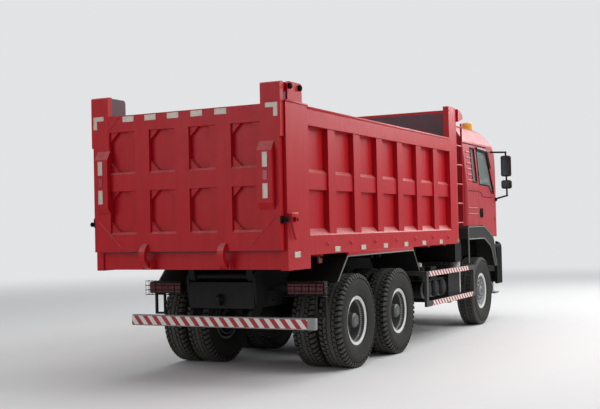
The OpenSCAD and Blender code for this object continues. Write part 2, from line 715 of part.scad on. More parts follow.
// Cab body: the volume where a side, a plan and a front outline meet, each drawn in by an inset
screen_z0 = cab_z + 570;
screen_z1 = cab_top - 395;
module cab_side_outline(d) rounded([
  [cab_x0 + d, cab_z - 500 + d, 0], [cab_x1 - 65 - d, cab_z - 355 - d, 0], [cab_x1 - 10 - d, cab_z - 190, 0],
  [cab_x1 - d, cab_z + 250, 60], [cab_x1 - 75 - d, screen_z0 - 20, 80],
  [cab_x1 - 390 - d, screen_z1 + 30 - d * 0.3, 120], [cab_x1 - 700 - d * 0.8, cab_top - 40 - d, 350],
  [cab_x1 - 1200, cab_top - d, 500], [cab_x0 + d, cab_top - d, 140]]);
module cab_plan_outline(d) rounded([
  [cab_x0 + d, -cab_half + d, 60], [cab_x1 - 430, -cab_half + d, 350],
  [cab_x1 - 120 - d, -cab_half + 230 + d * 0.5, 260], [cab_x1 - d, -330, 700], [cab_x1 - d, 330, 700],
  [cab_x1 - 120 - d, cab_half - 230 - d * 0.5, 260],
  [cab_x1 - 430, cab_half - d, 350], [cab_x0 + d, cab_half - d, 60]]);
module cab_front_outline(d) rounded([
  [-cab_half + d, cab_z - 520, 0], [cab_half - d, cab_z - 520, 0], [cab_half - d, cab_z + 640, 600],
  [cab_half - 60 - d, roof_seam + 60, 120], [cab_half - 210 - d, cab_top - d, 130],
  [-cab_half + 210 + d, cab_top - d, 130], [-cab_half + 60 + d, roof_seam + 60, 120],
  [-cab_half + d, cab_z + 640, 600]]);
module cab_volume(d) intersection() {
  along_y(-cab_half, cab_half) cab_side_outline(d);
  along_z(cab_z - 600, cab_top + past) cab_plan_outline(d);
  along_x(cab_x0 - past, cab_x1 + past) cab_front_outline(d);
}
module cab_shell(d0, d1) difference() {
  cab_volume(d0);
  cab_volume(d1);
}

// Side view outlines on the cab: lower edge over the wheel arch, door, door window and quarter window
arch_x0 = x_axle1 - 23;
arch_x1 = x_axle1 + 508;
module above_arch(lift) polygon([
  [cab_x0 - past, cab_z + lift], [arch_x0, cab_z + lift], [arch_x1, foot_well_z + lift],
  [cab_x1 + past, foot_well_z + lift], [cab_x1 + past, cab_top + past], [cab_x0 - past, cab_top + past]]);
pillar_top = door_x1 - 265;
module door_outline(g) polygon([
  [door_x0 + g, cab_z + g], [arch_x0, cab_z + g], [arch_x1, foot_well_z + g], [door_x1 - g, foot_well_z + g],
  [door_x1 - g, screen_z0 + 20], [pillar_top - g, roof_seam - g], [door_x0 + g, roof_seam - g]]);
module door_window(g) difference() {
  rounded([[door_x0 + 80 + g, screen_z0 - 10 + g, 0], [door_x1 - 62 - g, screen_z0 - 10 + g, 30],
    [pillar_top - 45 - g, roof_seam - 75 - g, 60], [door_x0 + 80 + g, roof_seam - 55 - g, 50]]);
  // The lower edge drops towards the front
  polygon([[door_x0 + 79, screen_z0 - 11], [door_x1 - 200, screen_z0 - 11], [door_x1 - 330, screen_z0 + 110 + g],
    [door_x0 + 79, screen_z0 + 125 + g]]);
}
module quarter_window(g)
  round_rect(door_x0 - 270 + g, door_x0 - 60 - g, screen_z0 + 150 + g, roof_seam - 60 - g, 30);
module screen_opening(g) rounded([
  [-1010 + g, screen_z0 + g, 90], [1010 - g, screen_z0 + g, 90],
  [960 - g, screen_z1 - g, 90], [-960 + g, screen_z1 - g, 90]]);
module grille_outline(g) rounded([
  [-840 + g, cab_z - 170 + g, 60], [840 - g, cab_z - 170 + g, 60],
  [900 - g, cab_z + 330 - g, 60], [-900 + g, cab_z + 330 - g, 60]]);
screen_x = cab_x1 - 640;

// Floor: flat over the engine, dropping to the foot well ahead of the wheel arch, with the tilting arms
module cab_floor() {
  t = 45;
  color(trim_black) difference() {
    union() {
      intersection() {
        along_y(-cab_half, cab_half) polygon([
          [cab_x0, cab_z], [arch_x0, cab_z], [arch_x1, foot_well_z], [cab_x1, foot_well_z],
          [cab_x1, foot_well_z + t], [arch_x1 + 20, foot_well_z + t], [arch_x0 + 20, cab_z + t],
          [cab_x0, cab_z + t]]);
        cab_volume(cab_t);
      }
      both_sides() along_y(rail_out - 34, rail_out) union() {
        translate([tilt_x, tilt_z]) circle(r = 45);
        polygon([[tilt_x - 45, tilt_z], [tilt_x + 45, tilt_z], [tilt_x + 45, foot_well_z + past],
          [tilt_x - 160, foot_well_z + past]]);
      }
    }
    bar_y(tilt_x, tilt_z, tilt_pin_r + run_gap, -rail_out - 10, rail_out + 10);
    // Room for the doors to swing
    both_sides() box(door_x0, door_x1 + door_gap, cab_half - cab_t - door_gap, cab_half,
      foot_well_z - past, cab_z + t + past);
  }
}
module cab_back() {
  color(body_red) intersection() {
    cab_shell(0, cab_t);
    box(cab_x0 - past, cab_x0 + cab_t, -cab_half, cab_half, cab_z, roof_seam);
  }
}
module cab_sides() {
  flutes = 6;
  flute_pitch = 95;
  flute_h = 40;
  color(body_red) both_sides() difference() {
    intersection() {
      cab_shell(0, cab_t);
      along_y(cab_half - 300, cab_half + past)
        polygon([[cab_x0 + cab_t, cab_z], [door_x0, cab_z], [door_x0, roof_seam], [cab_x0 + cab_t, roof_seam]]);
    }
    along_y(0, cab_half + past) quarter_window(0);
    // Pressed flutes behind the window
    for (i = [0:flutes - 1]) let (z = screen_z0 + 150 + i * flute_pitch)
      box(cab_x0 + 110, door_x0 - 300, cab_half - 12, cab_half + past, z, z + flute_h);
  }
}
module cab_roof() {
  color(body_red) difference() {
    intersection() {
      cab_shell(0, cab_t);
      box(cab_x0 - past, cab_x1, -cab_half, cab_half, roof_seam, cab_top + past);
    }
    translate([beacon_x, beacon_y, beacon_seat]) cylinder(r = beacon_r + seat_gap, h = 100);
  }
}
// Front panel, corner pillars and screen frame in one pressing
module cab_front() {
  color(body_red) difference() {
    intersection() {
      cab_shell(0, cab_t);
      along_y(-cab_half, cab_half) polygon([
        [door_x1, foot_well_z], [tilt_x + 70, foot_well_z], [tilt_x + 70, cab_z - 400],
        [cab_x1 + past, cab_z - 400], [cab_x1 + past, roof_seam], [pillar_top, roof_seam],
        [door_x1, screen_z0 + 20]]);
    }
    along_x(screen_x, cab_x1 + past) screen_opening(0);
    along_x(screen_x, cab_x1 + past) grille_outline(0);
    both_sides() for (z = [cab_z + 60, cab_z + 500])
      translate([door_x1 - 14, hinge_y, z - seat_gap]) cylinder(r = hinge_r + run_gap, h = 80 + 2 * seat_gap);
  }
}
module grille() {
  slots = 5;
  pitch = 88;
  color(trim_black) difference() {
    intersection() {
      cab_shell(12, cab_t);
      along_x(screen_x, cab_x1 + past) grille_outline(0);
    }
    for (i = [0:slots - 1])
      box(screen_x, cab_x1 + past, -760, 760, cab_z - 120 + i * pitch, cab_z - 80 + i * pitch);
  }
}
module cab_glass() {
  color(glass_tint) {
    intersection() {
      cab_shell(14, 26);
      along_x(screen_x, cab_x1 + past) screen_opening(0);
    }
    both_sides() intersection() {
      cab_shell(20, 30);
      along_y(cab_half - 300, cab_half + past) quarter_window(0);
    }
  }
}
module seat(y) {
  x = door_x0 + 60;
  z = cab_z + 45 + seat_gap;
  along_y(y - 250, y + 250) union() {
    round_rect(x, x + 520, z + 240, z + 400, 50);
    rounded([[x - 60, z + 330, 40], [x + 110, z + 330, 40], [x + 20, z + 1010, 60], [x - 130, z + 1010, 60]]);
    polygon([[x + 60, z], [x + 460, z], [x + 400, z + 250], [x + 120, z + 250]]);
  }
  along_y(y - 140, y + 140) rounded([[x - 120, z + 1000, 30], [x - 10, z + 1000, 30],
    [x - 30, z + 1210, 40], [x - 140, z + 1210, 40]]);
}
module seats() color("#3a3d40") for (y = [-560, 560]) seat(y);
module dashboard() {
  x0 = door_x1 + 20;
  wheel_x = x0 - 170;
  wheel_y = 560;
  wheel_z = cab_z + 590;
  wheel_r = 215;
  wheel_lean = 55;
  color(trim_black) {
    intersection() {
      along_y(-cab_half, cab_half) rounded([[x0 + 40, cab_z + 120, 40], [cab_x1, cab_z + 120, 0],
        [cab_x1, screen_z0 - 40, 0], [x0 + 60, screen_z0 - 40, 60], [x0, screen_z0 - 150, 50]]);
      cab_volume(cab_t + 1);
    }
    // Steering column, wheel rim and three spokes
    bar([wheel_x, wheel_y, wheel_z], [x0 + 120, wheel_y, wheel_z - 200], 35);
    translate([wheel_x, wheel_y, wheel_z]) rotate([0, -wheel_lean, 0]) {
      rotate_extrude() translate([wheel_r, 0]) circle(r = 16);
      for (a = [30, 150, 270]) rotate([0, 0, a]) rotate([0, 90, 0]) cylinder(r = 12, h = wheel_r - 3);
    }
    // Pedestal down to the foot well
    box(x0 + 150, x0 + 330, -200, 200, foot_well_z + 45 + seat_gap, cab_z + 121);
  }
}

// Mirrors on bent arms from the corner pillars
module mirrors() {
  px = door_x1 + 60;
  my = cab_half + 175;
  top = screen_z1 + 25;
  low = screen_z0 - 55;
  head_w = 165;
  color(trim_black) both_sides() {
    difference() {
      bar([px - 120, cab_half - 90, top], [px + 100, my, top], 15);
      cab_volume(-seat_gap);
    }
    bar([px + 100, my, top], [px + 130, my, low], 15);
    difference() {
      bar([px + 130, my, low], [px, cab_half - 20, low - 60], 15);
      cab_volume(-seat_gap);
    }
    translate([px + 100, my, top]) sphere(r = 18);
    translate([px + 130, my, low]) sphere(r = 18);
    along_x(px + 70, px + 150) round_rect(my - head_w / 2, my + head_w / 2, top - 425, top - 60, 35);
    along_x(px + 75, px + 165) round_rect(my - head_w / 2, my + head_w / 2, top - 640, top - 490, 35);
  }
}
// Sun visor ahead of the screen, on three brackets
module sun_visor() {
  bracket_w = 40;
  color(trim_black) {
    intersection() {
      cab_shell(-70, -58);
      along_x(screen_x, cab_x1) round_rect(-1000, 1000, screen_z1 - 90, screen_z1 + 60, 30);
    }
    intersection() {
      cab_shell(-60, -seat_gap);
      union() for (y = [-700, 0, 700])
        box(screen_x, cab_x1, y - bracket_w / 2, y + bracket_w / 2, screen_z1 + 20, screen_z1 + 50);
    }
  }
}
beacon_x = cab_x0 + 1180;
beacon_y = -cab_half + 330;
beacon_r = 88;
beacon_seat = cab_top - 34;
module beacon() {
  color("#e39a12") translate([beacon_x, beacon_y, beacon_seat + seat_gap]) rotate_extrude()
    rounded([[0, 0, 0], [beacon_r, 0, 0], [beacon_r - 4, 165, 25], [0, 165, 0]]);
}

// Door: one panel as thick as the wall, window cut out, hinge barrels on its front edge
module door() {
  color(body_red) {
    difference() {
      intersection() {
        cab_shell(0, cab_t);
        along_y(cab_half - 300, cab_half + past) door_outline(door_gap);
      }
      along_y(0, cab_half + past) door_window(0);
      // Grip recess
      along_y(cab_half - 18, cab_half + past)
        round_rect(door_x0 + 40, door_x0 + 250, cab_z + 130, cab_z + 290, 40);
    }
    for (z = [cab_z + 60, cab_z + 500]) translate([door_x1 - 14, hinge_y, z]) cylinder(r = hinge_r, h = 80);
  }
}
module door_glass() {
  color(glass_tint) intersection() {
    cab_shell(20, 30);
    along_y(cab_half - 300, cab_half + past) door_window(0);
  }
}

// Floor of the tipping body: plate, cross bearers and the rear sill with its claw ears
claw_y = 505;
claw_w = 76;
bearer_h = 45;
module bed_floor() {
  bearers = 8;
  bearer_w = 80;
  step = (bed_l - 700) / (bearers - 1);
  y = wall_in - seat_gap;
  color(body_red) {
    difference() {
      union() {
        box(bed_x0 + 20, bed_x1 - wall_t - seat_gap, -y, y, floor_top - floor_t, floor_top);
        for (i = [0:bearers - 1]) let (x = bed_x0 + 420 + i * step)
          box(x, x + bearer_w, -y + 100, y - 100, floor_top - floor_t - bearer_h, floor_top - floor_t + past);
      }
      // Room for the hoist housing
      box(bed_x1 - wall_t - house_d - 2 * house_t, bed_x1, -house_half - house_t - seat_gap,
        house_half + house_t + seat_gap, floor_top - floor_t - bearer_h - past, floor_top + past);
    }
    box(bed_x0 + 20, bed_x0 + 170, -y, y, sill_z + 10, floor_top - floor_t + past);
    both_sides() for (s = [-1, 1]) let (ear_y = claw_y + s * (claw_w / 2 + 20))
      box(bed_x0 - 70, bed_x0 + 21, ear_y - 8, ear_y + 8, sill_z + 15, sill_z + 110);
  }
}
// Two long bearers that lie on the frame, with the eyes of the tipping pin
module bed_beams() {
  y1 = rail_out - 2;
  y0 = rail_out - flange_w;
  top = floor_top - floor_t - bearer_h;
  eye_r = 66;
  color(body_red) {
    both_sides() {
      along_y(y0, y1) polygon([[tip_x + 110, beam_seat], [bed_x1 - 160, beam_seat], [bed_x1 - 100, beam_seat + 60],
        [bed_x1 - 100, top], [bed_x0 + 171, top], [bed_x0 + 171, sill_z + 20], [tip_x - 90, sill_z + 20],
        [tip_x - eye_r, tip_z], [tip_x + eye_r, tip_z]]);
      along_y(y0, y1) translate([tip_x, tip_z]) circle(r = eye_r);
    }
    bar_y(tip_x, tip_z, tip_pin_r, -rail_out - 34, rail_out + 34);
  }
}

// Side wall: rails and posts round two rows of panels, whose lower edges slope outwards.
// The ribs stand back from the rails, and the middle band stands back from the ribs.
row_low = [1600, 2105];
row_high = [2290, 2800];
shelf_rise = 75;
rib_back = 14;
band_back = 34;
post_chamfer = [190, 36];
module side_wall() {
  run_x0 = bed_x0 + rear_post_l;
  run_x1 = bed_x1 - front_post_l;
  pitch = (run_x1 - run_x0 + rib_w) / side_panels;
  e = past;
  color(body_red) {
    difference() {
      union() {
        box(run_x0 - e, run_x1 + e, wall_in, wall_out, wall_z, wall_top);
        box(bed_x0, run_x0, wall_in, wall_out, sill_z, rear_post_top);
        box(run_x1, bed_x1, wall_in, wall_out, wall_z, front_post_top);
      }
      along_x(run_x0, run_x1) polygon([[wall_out + e, row_low[0]], [wall_out + e, row_high[1]],
        [wall_out - rib_back, row_high[1]], [wall_out - rib_back, row_low[0] + rib_back], [wall_out, row_low[0]]]);
      for (i = [0:side_panels - 1])
        along_x(run_x0 + i * pitch, run_x0 + (i + 1) * pitch - rib_w) polygon([
          [wall_out, row_low[0]], [wall_out, row_high[1]], [wall_in + skin_t, row_high[1]],
          [wall_in + skin_t, row_high[0] + shelf_rise - band_back], [wall_out - band_back, row_high[0]],
          [wall_out - band_back, row_low[1]], [wall_in + skin_t, row_low[1]],
          [wall_in + skin_t, row_low[0] + shelf_rise]]);
      // Folded front edge of the front post
      along_z(wall_z - e, front_post_top + e) polygon([[bed_x1 - post_chamfer[0], wall_out],
        [bed_x1 + e, wall_out + e], [bed_x1 + e, wall_out - post_chamfer[1]]]);
    }
    // Bracket of the tailgate pin on top of the rear post
    hang_bracket();
  }
}
module hang_bracket() {
  y0 = wall_out - 140;
  base = rear_post_top;
  box(hang_x - 45, hang_x + 290, y0 - 10, wall_out, base - 0.5, base + 12);
  for (y = [y0, wall_out - 30]) along_y(y, y + 25) rounded([[hang_x - 45, base + 5, 0],
    [hang_x + 290, base + 5, 0], [hang_x + 290, hang_z + 50, 40], [hang_x - 45, hang_z + 50, 40]]);
  bar_y(hang_x, hang_z, hang_pin_r, y0 - 12, wall_out + 12);
}

// Front wall with a short hood on its top edge, a sloped housing in which the hoist swings, and the hoist's
// upper seat
house_half = 105;
house_t = 25;
house_top = head_z - 140;
house_d = 330;
module house_profile(grow) polygon([
  [bed_x1 + past, house_top - 60 + grow], [bed_x1 - wall_t, house_top - 120 + grow],
  [bed_x1 - wall_t - house_d - grow, floor_top - floor_t - bearer_h - past],
  [bed_x1 + past, floor_top - floor_t - bearer_h - past]]);
module headboard() {
  top = front_post_top - 50;
  y = wall_in - seat_gap;
  ribs = 5;
  cell = 2 * y / ribs;
  rib = 120;
  color(body_red) difference() {
    union() {
      box(bed_x1 - wall_t, bed_x1, -y, y, wall_z + 10, top);
      along_y(-wall_out, wall_out) polygon([
        [bed_x1, top - 150], [bed_x1 + 110, top - 125], [bed_x1 + 215, top - 95], [bed_x1 + 245, top - 65],
        [bed_x1 + 225, top - 30], [bed_x1 + 110, top + 20], [bed_x1, top + 48]]);
      intersection() {
        along_y(-house_half - house_t, house_half + house_t) house_profile(house_t);
        box(bed_x1 - 2 * house_d, bed_x1, -y, y, floor_top - floor_t, top);
      }
      // Cheeks that hold the hoist's cross head
      both_sides() along_y(75, 105) polygon([[bed_x1 - past, head_z - 90], [bed_x1 - past, head_z + 140],
        [bed_x1 + 60, head_z + 140], [head_x + 70, head_z + 60], [head_x + 70, head_z - 10],
        [bed_x1 + 50, head_z - 90]]);
    }
    along_y(-house_half, house_half) house_profile(0);
    for (i = [0:ribs - 1]) if (i != (ribs - 1) / 2) for (z = [[wall_z + 130, 2200], [2330, top - 170]])
      box(bed_x1 - wall_t + skin_t, bed_x1 + past, -y + i * cell + rib / 2, -y + (i + 1) * cell - rib / 2,
        z[0], z[1]);
    // Slots for the ends of the cross head, open downwards and widening to the rear
    bar_y(head_x, head_z, 32 + run_gap, -120, 120);
    rotate_about(head_x, head_z, hoist_lean) along_y(-120, 120) polygon([
      [head_x - 41, head_z + 6], [head_x + 33, head_z], [head_x + 33, head_z - 300], [head_x - 110, head_z - 300],
      [head_x - 80, head_z - 100], [head_x - 62, head_z - 45]]);
  }
}

// Ladder on the front right-hand post
module ladder() {
  rungs = 6;
  x0 = bed_x1 + 25;
  x1 = bed_x1 + 320;
  y = -wall_out + 60;
  z0 = wall_z + 260;
  z1 = front_post_top - 200;
  color(body_red) {
    for (x = [x0, x1]) bar([x, y, z0], [x, y, z1], 16);
    for (i = [0:rungs - 1]) let (z = z0 + 60 + i * (z1 - z0 - 120) / (rungs - 1)) bar([x0, y, z], [x1, y, z], 13);
    bar([x0, y, z1 - 20], [bed_x1 + seat_gap, y, z1 - 20], 14);
    bar([x0, y, z0 + 20], [bed_x1 + seat_gap, y, z0 + 20], 14);
  }
}

// Tailgate: framed panel with corner gussets in each bay, hinge posts, reflector boxes and claws
bay_y = [[90, 432], [620, 975]];
bay_z = [[1655, 2140], [2330, 2808]];
module tailgate() {
  gusset = 110;
  plate_d = 24;
  floor_d = gate_t - skin_t;
  lug_y0 = wall_out - 110;
  lug_y1 = wall_out - 36;
  color(body_red) difference() {
    union() {
      difference() {
        box(gate_x0, gate_x1, -gate_half_w, gate_half_w, gate_z0, gate_z1);
        both_sides() for (y = bay_y) for (z = bay_z) {
          along_y(y[0], y[1]) polygon([[gate_x0 - past, z[0] - past], [gate_x0 + plate_d, z[0] + plate_d],
            [gate_x0 + plate_d, z[1]], [gate_x0 - past, z[1]]]);
          along_x(gate_x0 + plate_d - past, gate_x0 + floor_d) let (low = z[0] + plate_d) polygon([
            [y[0] + gusset, low], [y[1] - gusset, low], [y[1], low + gusset], [y[1], z[1] - gusset],
            [y[1] - gusset, z[1]], [y[0] + gusset, z[1]], [y[0], z[1] - gusset], [y[0], low + gusset]]);
        }
      }
      both_sides() {
        // Hinge post with a lug that reaches forward between the bracket cheeks
        along_y(985, gate_half_w + 20) rounded([[gate_x0 - 2, 2640, 0], [gate_x1 - 1, 2640, 0],
          [gate_x1 - 1, hang_z + 35, 0], [gate_x0 - 2, hang_z + 35, 25]]);
        along_y(lug_y0, lug_y1) union() {
          translate([hang_x, hang_z]) circle(r = 44);
          translate([gate_x1 - 10, hang_z - 60]) square([hang_x - gate_x1 + 10, 95]);
        }
        // Reflector box with sloped ends
        along_y(963, 1138)
          polygon([[gate_x0 + 1, 1880], [gate_x0 - 64, 1955], [gate_x0 - 64, 2500], [gate_x0 + 1, 2600]]);
        // Claw that reaches down over the sill between its ears
        intersection() {
          along_y(claw_y - claw_w / 2, claw_y + claw_w / 2) difference() {
            translate([bed_x0 - 10, sill_z + 170]) circle(r = claw_r);
            translate([bed_x0 - 10, sill_z + 170]) circle(r = claw_r - 58);
          }
          box(x_rear - past, bed_x0 - 10, 0, wall_out, sill_z, gate_z1);
        }
      }
    }
    both_sides() bar_y(hang_x, hang_z, hang_pin_r + run_gap, lug_y0 - 10, lug_y1 + 10);
  }
}

// Hoist, drawn upright from its foot and then leaned back: a barrel and four stages inside it
module hoist_place() translate([foot_x, 0, foot_z]) rotate([0, hoist_lean, 0]) children();
barrel_top = hoist_l - 200;
module hoist_barrel() {
  r = stage_radii[0];
  color(hydraulic_grey) hoist_place() difference() {
    union() {
      translate([0, 0, -55]) cylinder(r = r, h = barrel_top + 55);
      rotate([90, 0, 0]) translate([0, 0, -190]) cylinder(r = 40, h = 380);
    }
    translate([0, 0, 70]) cylinder(r = stage_radii[1] + run_gap, h = barrel_top);
  }
}
module hoist_stage(i) {
  r = stage_radii[i];
  last = i == len(stage_radii) - 1;
  bottom = 70 + i * 15;
  top = last ? hoist_l : barrel_top + i * stage_lip;
  color(bright_metal) hoist_place() difference() {
    union() {
      translate([0, 0, bottom]) cylinder(r = r, h = top - bottom);
      if (last) translate([0, 0, hoist_l]) rotate([90, 0, 0]) translate([0, 0, -110]) cylinder(r = 32, h = 220);
    }
    if (!last) translate([0, 0, bottom + 15 - run_gap]) cylinder(r = stage_radii[i + 1] + run_gap, h = top);
  }
}

frame();
cab_posts();
front_axle();
rear_axles();
leaf_springs();
engine();
propshafts();
fuel_tank();
air_tanks();
battery_box();
side_guards();
underrun_bar();
tail_lamps();
rear_mudguards();
front_fenders();
front_bumper();
headlamps();
knuckle();  // knuckle_left
mirror([0, 1, 0]) knuckle();  // knuckle_right
tie_rod();
front_wheel();  // front_wheel_left
tyre(x_axle1, front_half_w - tyre_w / 2);  // front_tyre_left
mirror([0, 1, 0]) front_wheel();  // front_wheel_right
mirror([0, 1, 0]) tyre(x_axle1, front_half_w - tyre_w / 2);  // front_tyre_right
twin_wheels(x_axle2);  // mid_wheels_left
twin_tyres(x_axle2);  // mid_tyres_left
mirror([0, 1, 0]) twin_wheels(x_axle2);  // mid_wheels_right
mirror([0, 1, 0]) twin_tyres(x_axle2);  // mid_tyres_right
twin_wheels(x_axle3);  // rear_wheels_left
twin_tyres(x_axle3);  // rear_tyres_left
mirror([0, 1, 0]) twin_wheels(x_axle3);  // rear_wheels_right
mirror([0, 1, 0]) twin_tyres(x_axle3);  // rear_tyres_right
cab_floor();
cab_back();
cab_sides();
cab_roof();
cab_front();
grille();
cab_glass();
seats();
dashboard();
mirrors();
sun_visor();
beacon();
door();  // door_left
door_glass();  // door_glass_left
mirror([0, 1, 0]) door();  // door_right
mirror([0, 1, 0]) door_glass();  // door_glass_right
bed_floor();
bed_beams();
side_wall();  // bed_side_left
mirror([0, 1, 0]) side_wall();  // bed_side_right
headboard();
ladder();
tailgate();
hoist_barrel();
hoist_stage(1);  // hoist_stage_1
hoist_stage(2);  // hoist_stage_2
hoist_stage(3);  // hoist_stage_3
hoist_stage(4);  // hoist_stage_4
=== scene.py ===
import math

import bpy
from bpy.props import FloatProperty, FloatVectorProperty, IntProperty, PointerProperty
from mathutils import Matrix, Vector


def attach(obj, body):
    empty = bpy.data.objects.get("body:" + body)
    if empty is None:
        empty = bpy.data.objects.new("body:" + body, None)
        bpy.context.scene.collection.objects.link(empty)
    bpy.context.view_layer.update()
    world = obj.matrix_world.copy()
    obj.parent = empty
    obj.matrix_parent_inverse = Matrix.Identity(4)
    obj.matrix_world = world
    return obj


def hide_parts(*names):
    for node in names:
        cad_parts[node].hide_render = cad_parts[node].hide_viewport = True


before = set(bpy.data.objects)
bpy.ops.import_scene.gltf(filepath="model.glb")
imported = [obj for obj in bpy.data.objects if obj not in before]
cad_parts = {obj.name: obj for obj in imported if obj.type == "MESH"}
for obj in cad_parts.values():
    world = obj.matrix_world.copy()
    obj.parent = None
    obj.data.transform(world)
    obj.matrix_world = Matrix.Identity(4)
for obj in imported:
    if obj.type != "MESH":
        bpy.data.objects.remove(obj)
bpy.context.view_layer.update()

bl_info = {
    "name": "Tipper truck dressing",
    "version": (1, 0, 0),
    "blender": (4, 5, 0),
    "location": "View3D > Sidebar > Tipper",
    "description": "Finishes, tyres, reflectors and fittings for a tipping lorry",
    "category": "Object",
}

BACKDROP = (0.76, 0.77, 0.78, 1)
# Near-black colour of painted shade
DEEP_SHADE = (0.002, 0.002, 0.002, 1)
# Directions: X runs forward, Y to the left and Z up
AHEAD = (1, 0, 0)
BACK = (-1, 0, 0)
ACROSS = (0, 1, 0)
RIGHT = (0, -1, 0)
UP = (0, 0, 1)
# Height of the axles, and their stations along the lorry
AXLE_Z = 0.562
FRONT_AXLE = 2.970
MID_AXLE = -0.995
REAR_AXLE = -2.370


def srgb(code):
    """Linear colour from an sRGB hex value."""
    parts = [int(code[i:i + 2], 16) / 255 for i in (1, 3, 5)]
    linear = [p / 12.92 if p <= 0.04045 else ((p + 0.055) / 1.055) ** 2.4 for p in parts]
    return (*linear, 1.0)


def shade(name, description, code):
    """One colour property with its default given as an sRGB hex value."""
    return FloatVectorProperty(name=name, description=description, subtype="COLOR", size=4, min=0, max=1,
                               default=srgb(code))


def length(name, description, metres):
    """One length property in metres."""
    return FloatProperty(name=name, description=description, default=metres, min=0, unit="LENGTH")


class TipperColours(bpy.types.PropertyGroup):
    body_red: shade("Body red", "Enamel of the tipping body", "#AC0F1B")
    cab_red: shade("Cab red", "Lacquer of the cab", "#A92832")
    dust: shade("Dust", "Dry road dust", "#8D8077")
    # Pale tone of the painted highlight on sloping ledges
    ledge_highlight_tone: shade("Ledge highlight", "Painted highlight on sloping ledges", "#D6B4AF")
    chassis: shade("Chassis black", "Chassis paint", "#121313")
    plastic: shade("Trim black", "Grained plastic trim", "#101211")
    rubber: shade("Rubber", "Tyre rubber", "#474744")
    wheel: shade("Wheel grey", "Rear wheel paint", "#585B59")
    rim: shade("Rim grey", "Bare rim lip", "#D0D1CF")
    tape_red: shade("Tape red", "Red of the marking tape", "#A5151A")
    tape_white: shade("Tape white", "White of the marking tape", "#DCDAD5")
    lamp_red: shade("Lamp red", "Rear lamp lens", "#6E1218")
    amber: shade("Amber", "Beacon and side lamps", "#F0A012")
    # Pale grey of the windows: painted reflection of the bright surroundings
    glass: shade("Glass", "Tint of the windows", "#8E9896")
    # Inside of the body: worn steel, darkened further as painted shade
    worn_and_shaded: shade("Worn and shaded steel", "Inside of the tipping body", "#5A4248")
    floor: shade("Floor", "Studio floor", "#D9D9D8")


class TipperSizes(bpy.types.PropertyGroup):
    lug_depth: length("Lug depth", "Height of the tread blocks", 0.019)
    stripe: length("Stripe", "Width of one marking stripe", 0.064)
    bolt: length("Bolt", "Width of a bolt head", 0.03)
    pitches: IntProperty(name="Pitches", description="Tread pitches round a tyre", default=52, min=20, max=90)


def colours():
    return bpy.context.scene.tipper_colours


def sizes():
    return bpy.context.scene.tipper_sizes


# Nodes

def add(tree, kind, values=None, links=None):
    """Adds one shader node, sets its values and links its inputs to (node, output) pairs."""
    made = tree.nodes.new(kind)

    def socket(group, key):
        return next(s for s in group if key in (s.identifier, s.name))

    for key, value in (values or {}).items():
        if hasattr(made, key):
            setattr(made, key, value)
        else:
            socket(made.inputs, key).default_value = value
    for key, (source, output) in (links or {}).items():
        tree.links.new(socket(source.outputs, output), socket(made.inputs, key))
    return made


def start_material(name):
    """An empty material with its coordinates."""
    made = bpy.data.materials.new(name)
    made.use_nodes = True
    tree = made.node_tree
    tree.nodes.clear()
    return made, tree, add(tree, "ShaderNodeTexCoord")


def end_material(tree, shader):
    """Sends the shader to the output."""
    add(tree, "ShaderNodeOutputMaterial", links={"Surface": (shader, "BSDF")})


def in_box(tree, split, low, high):
    """One inside a box between two corners and zero outside it, from a split position."""
    inside = None
    for axis, a, b in zip("XYZ", low, high):
        within = add(tree, "ShaderNodeMath",
                     {"operation": "COMPARE", "Value_001": (a + b) / 2, "Value_002": (b - a) / 2},
                     {"Value": (split, axis)})
        if inside:
            within = add(tree, "ShaderNodeMath", {"operation": "MULTIPLY"},
                         {"Value": (inside, "Value"), "Value_001": (within, "Value")})
        inside = within
    return inside


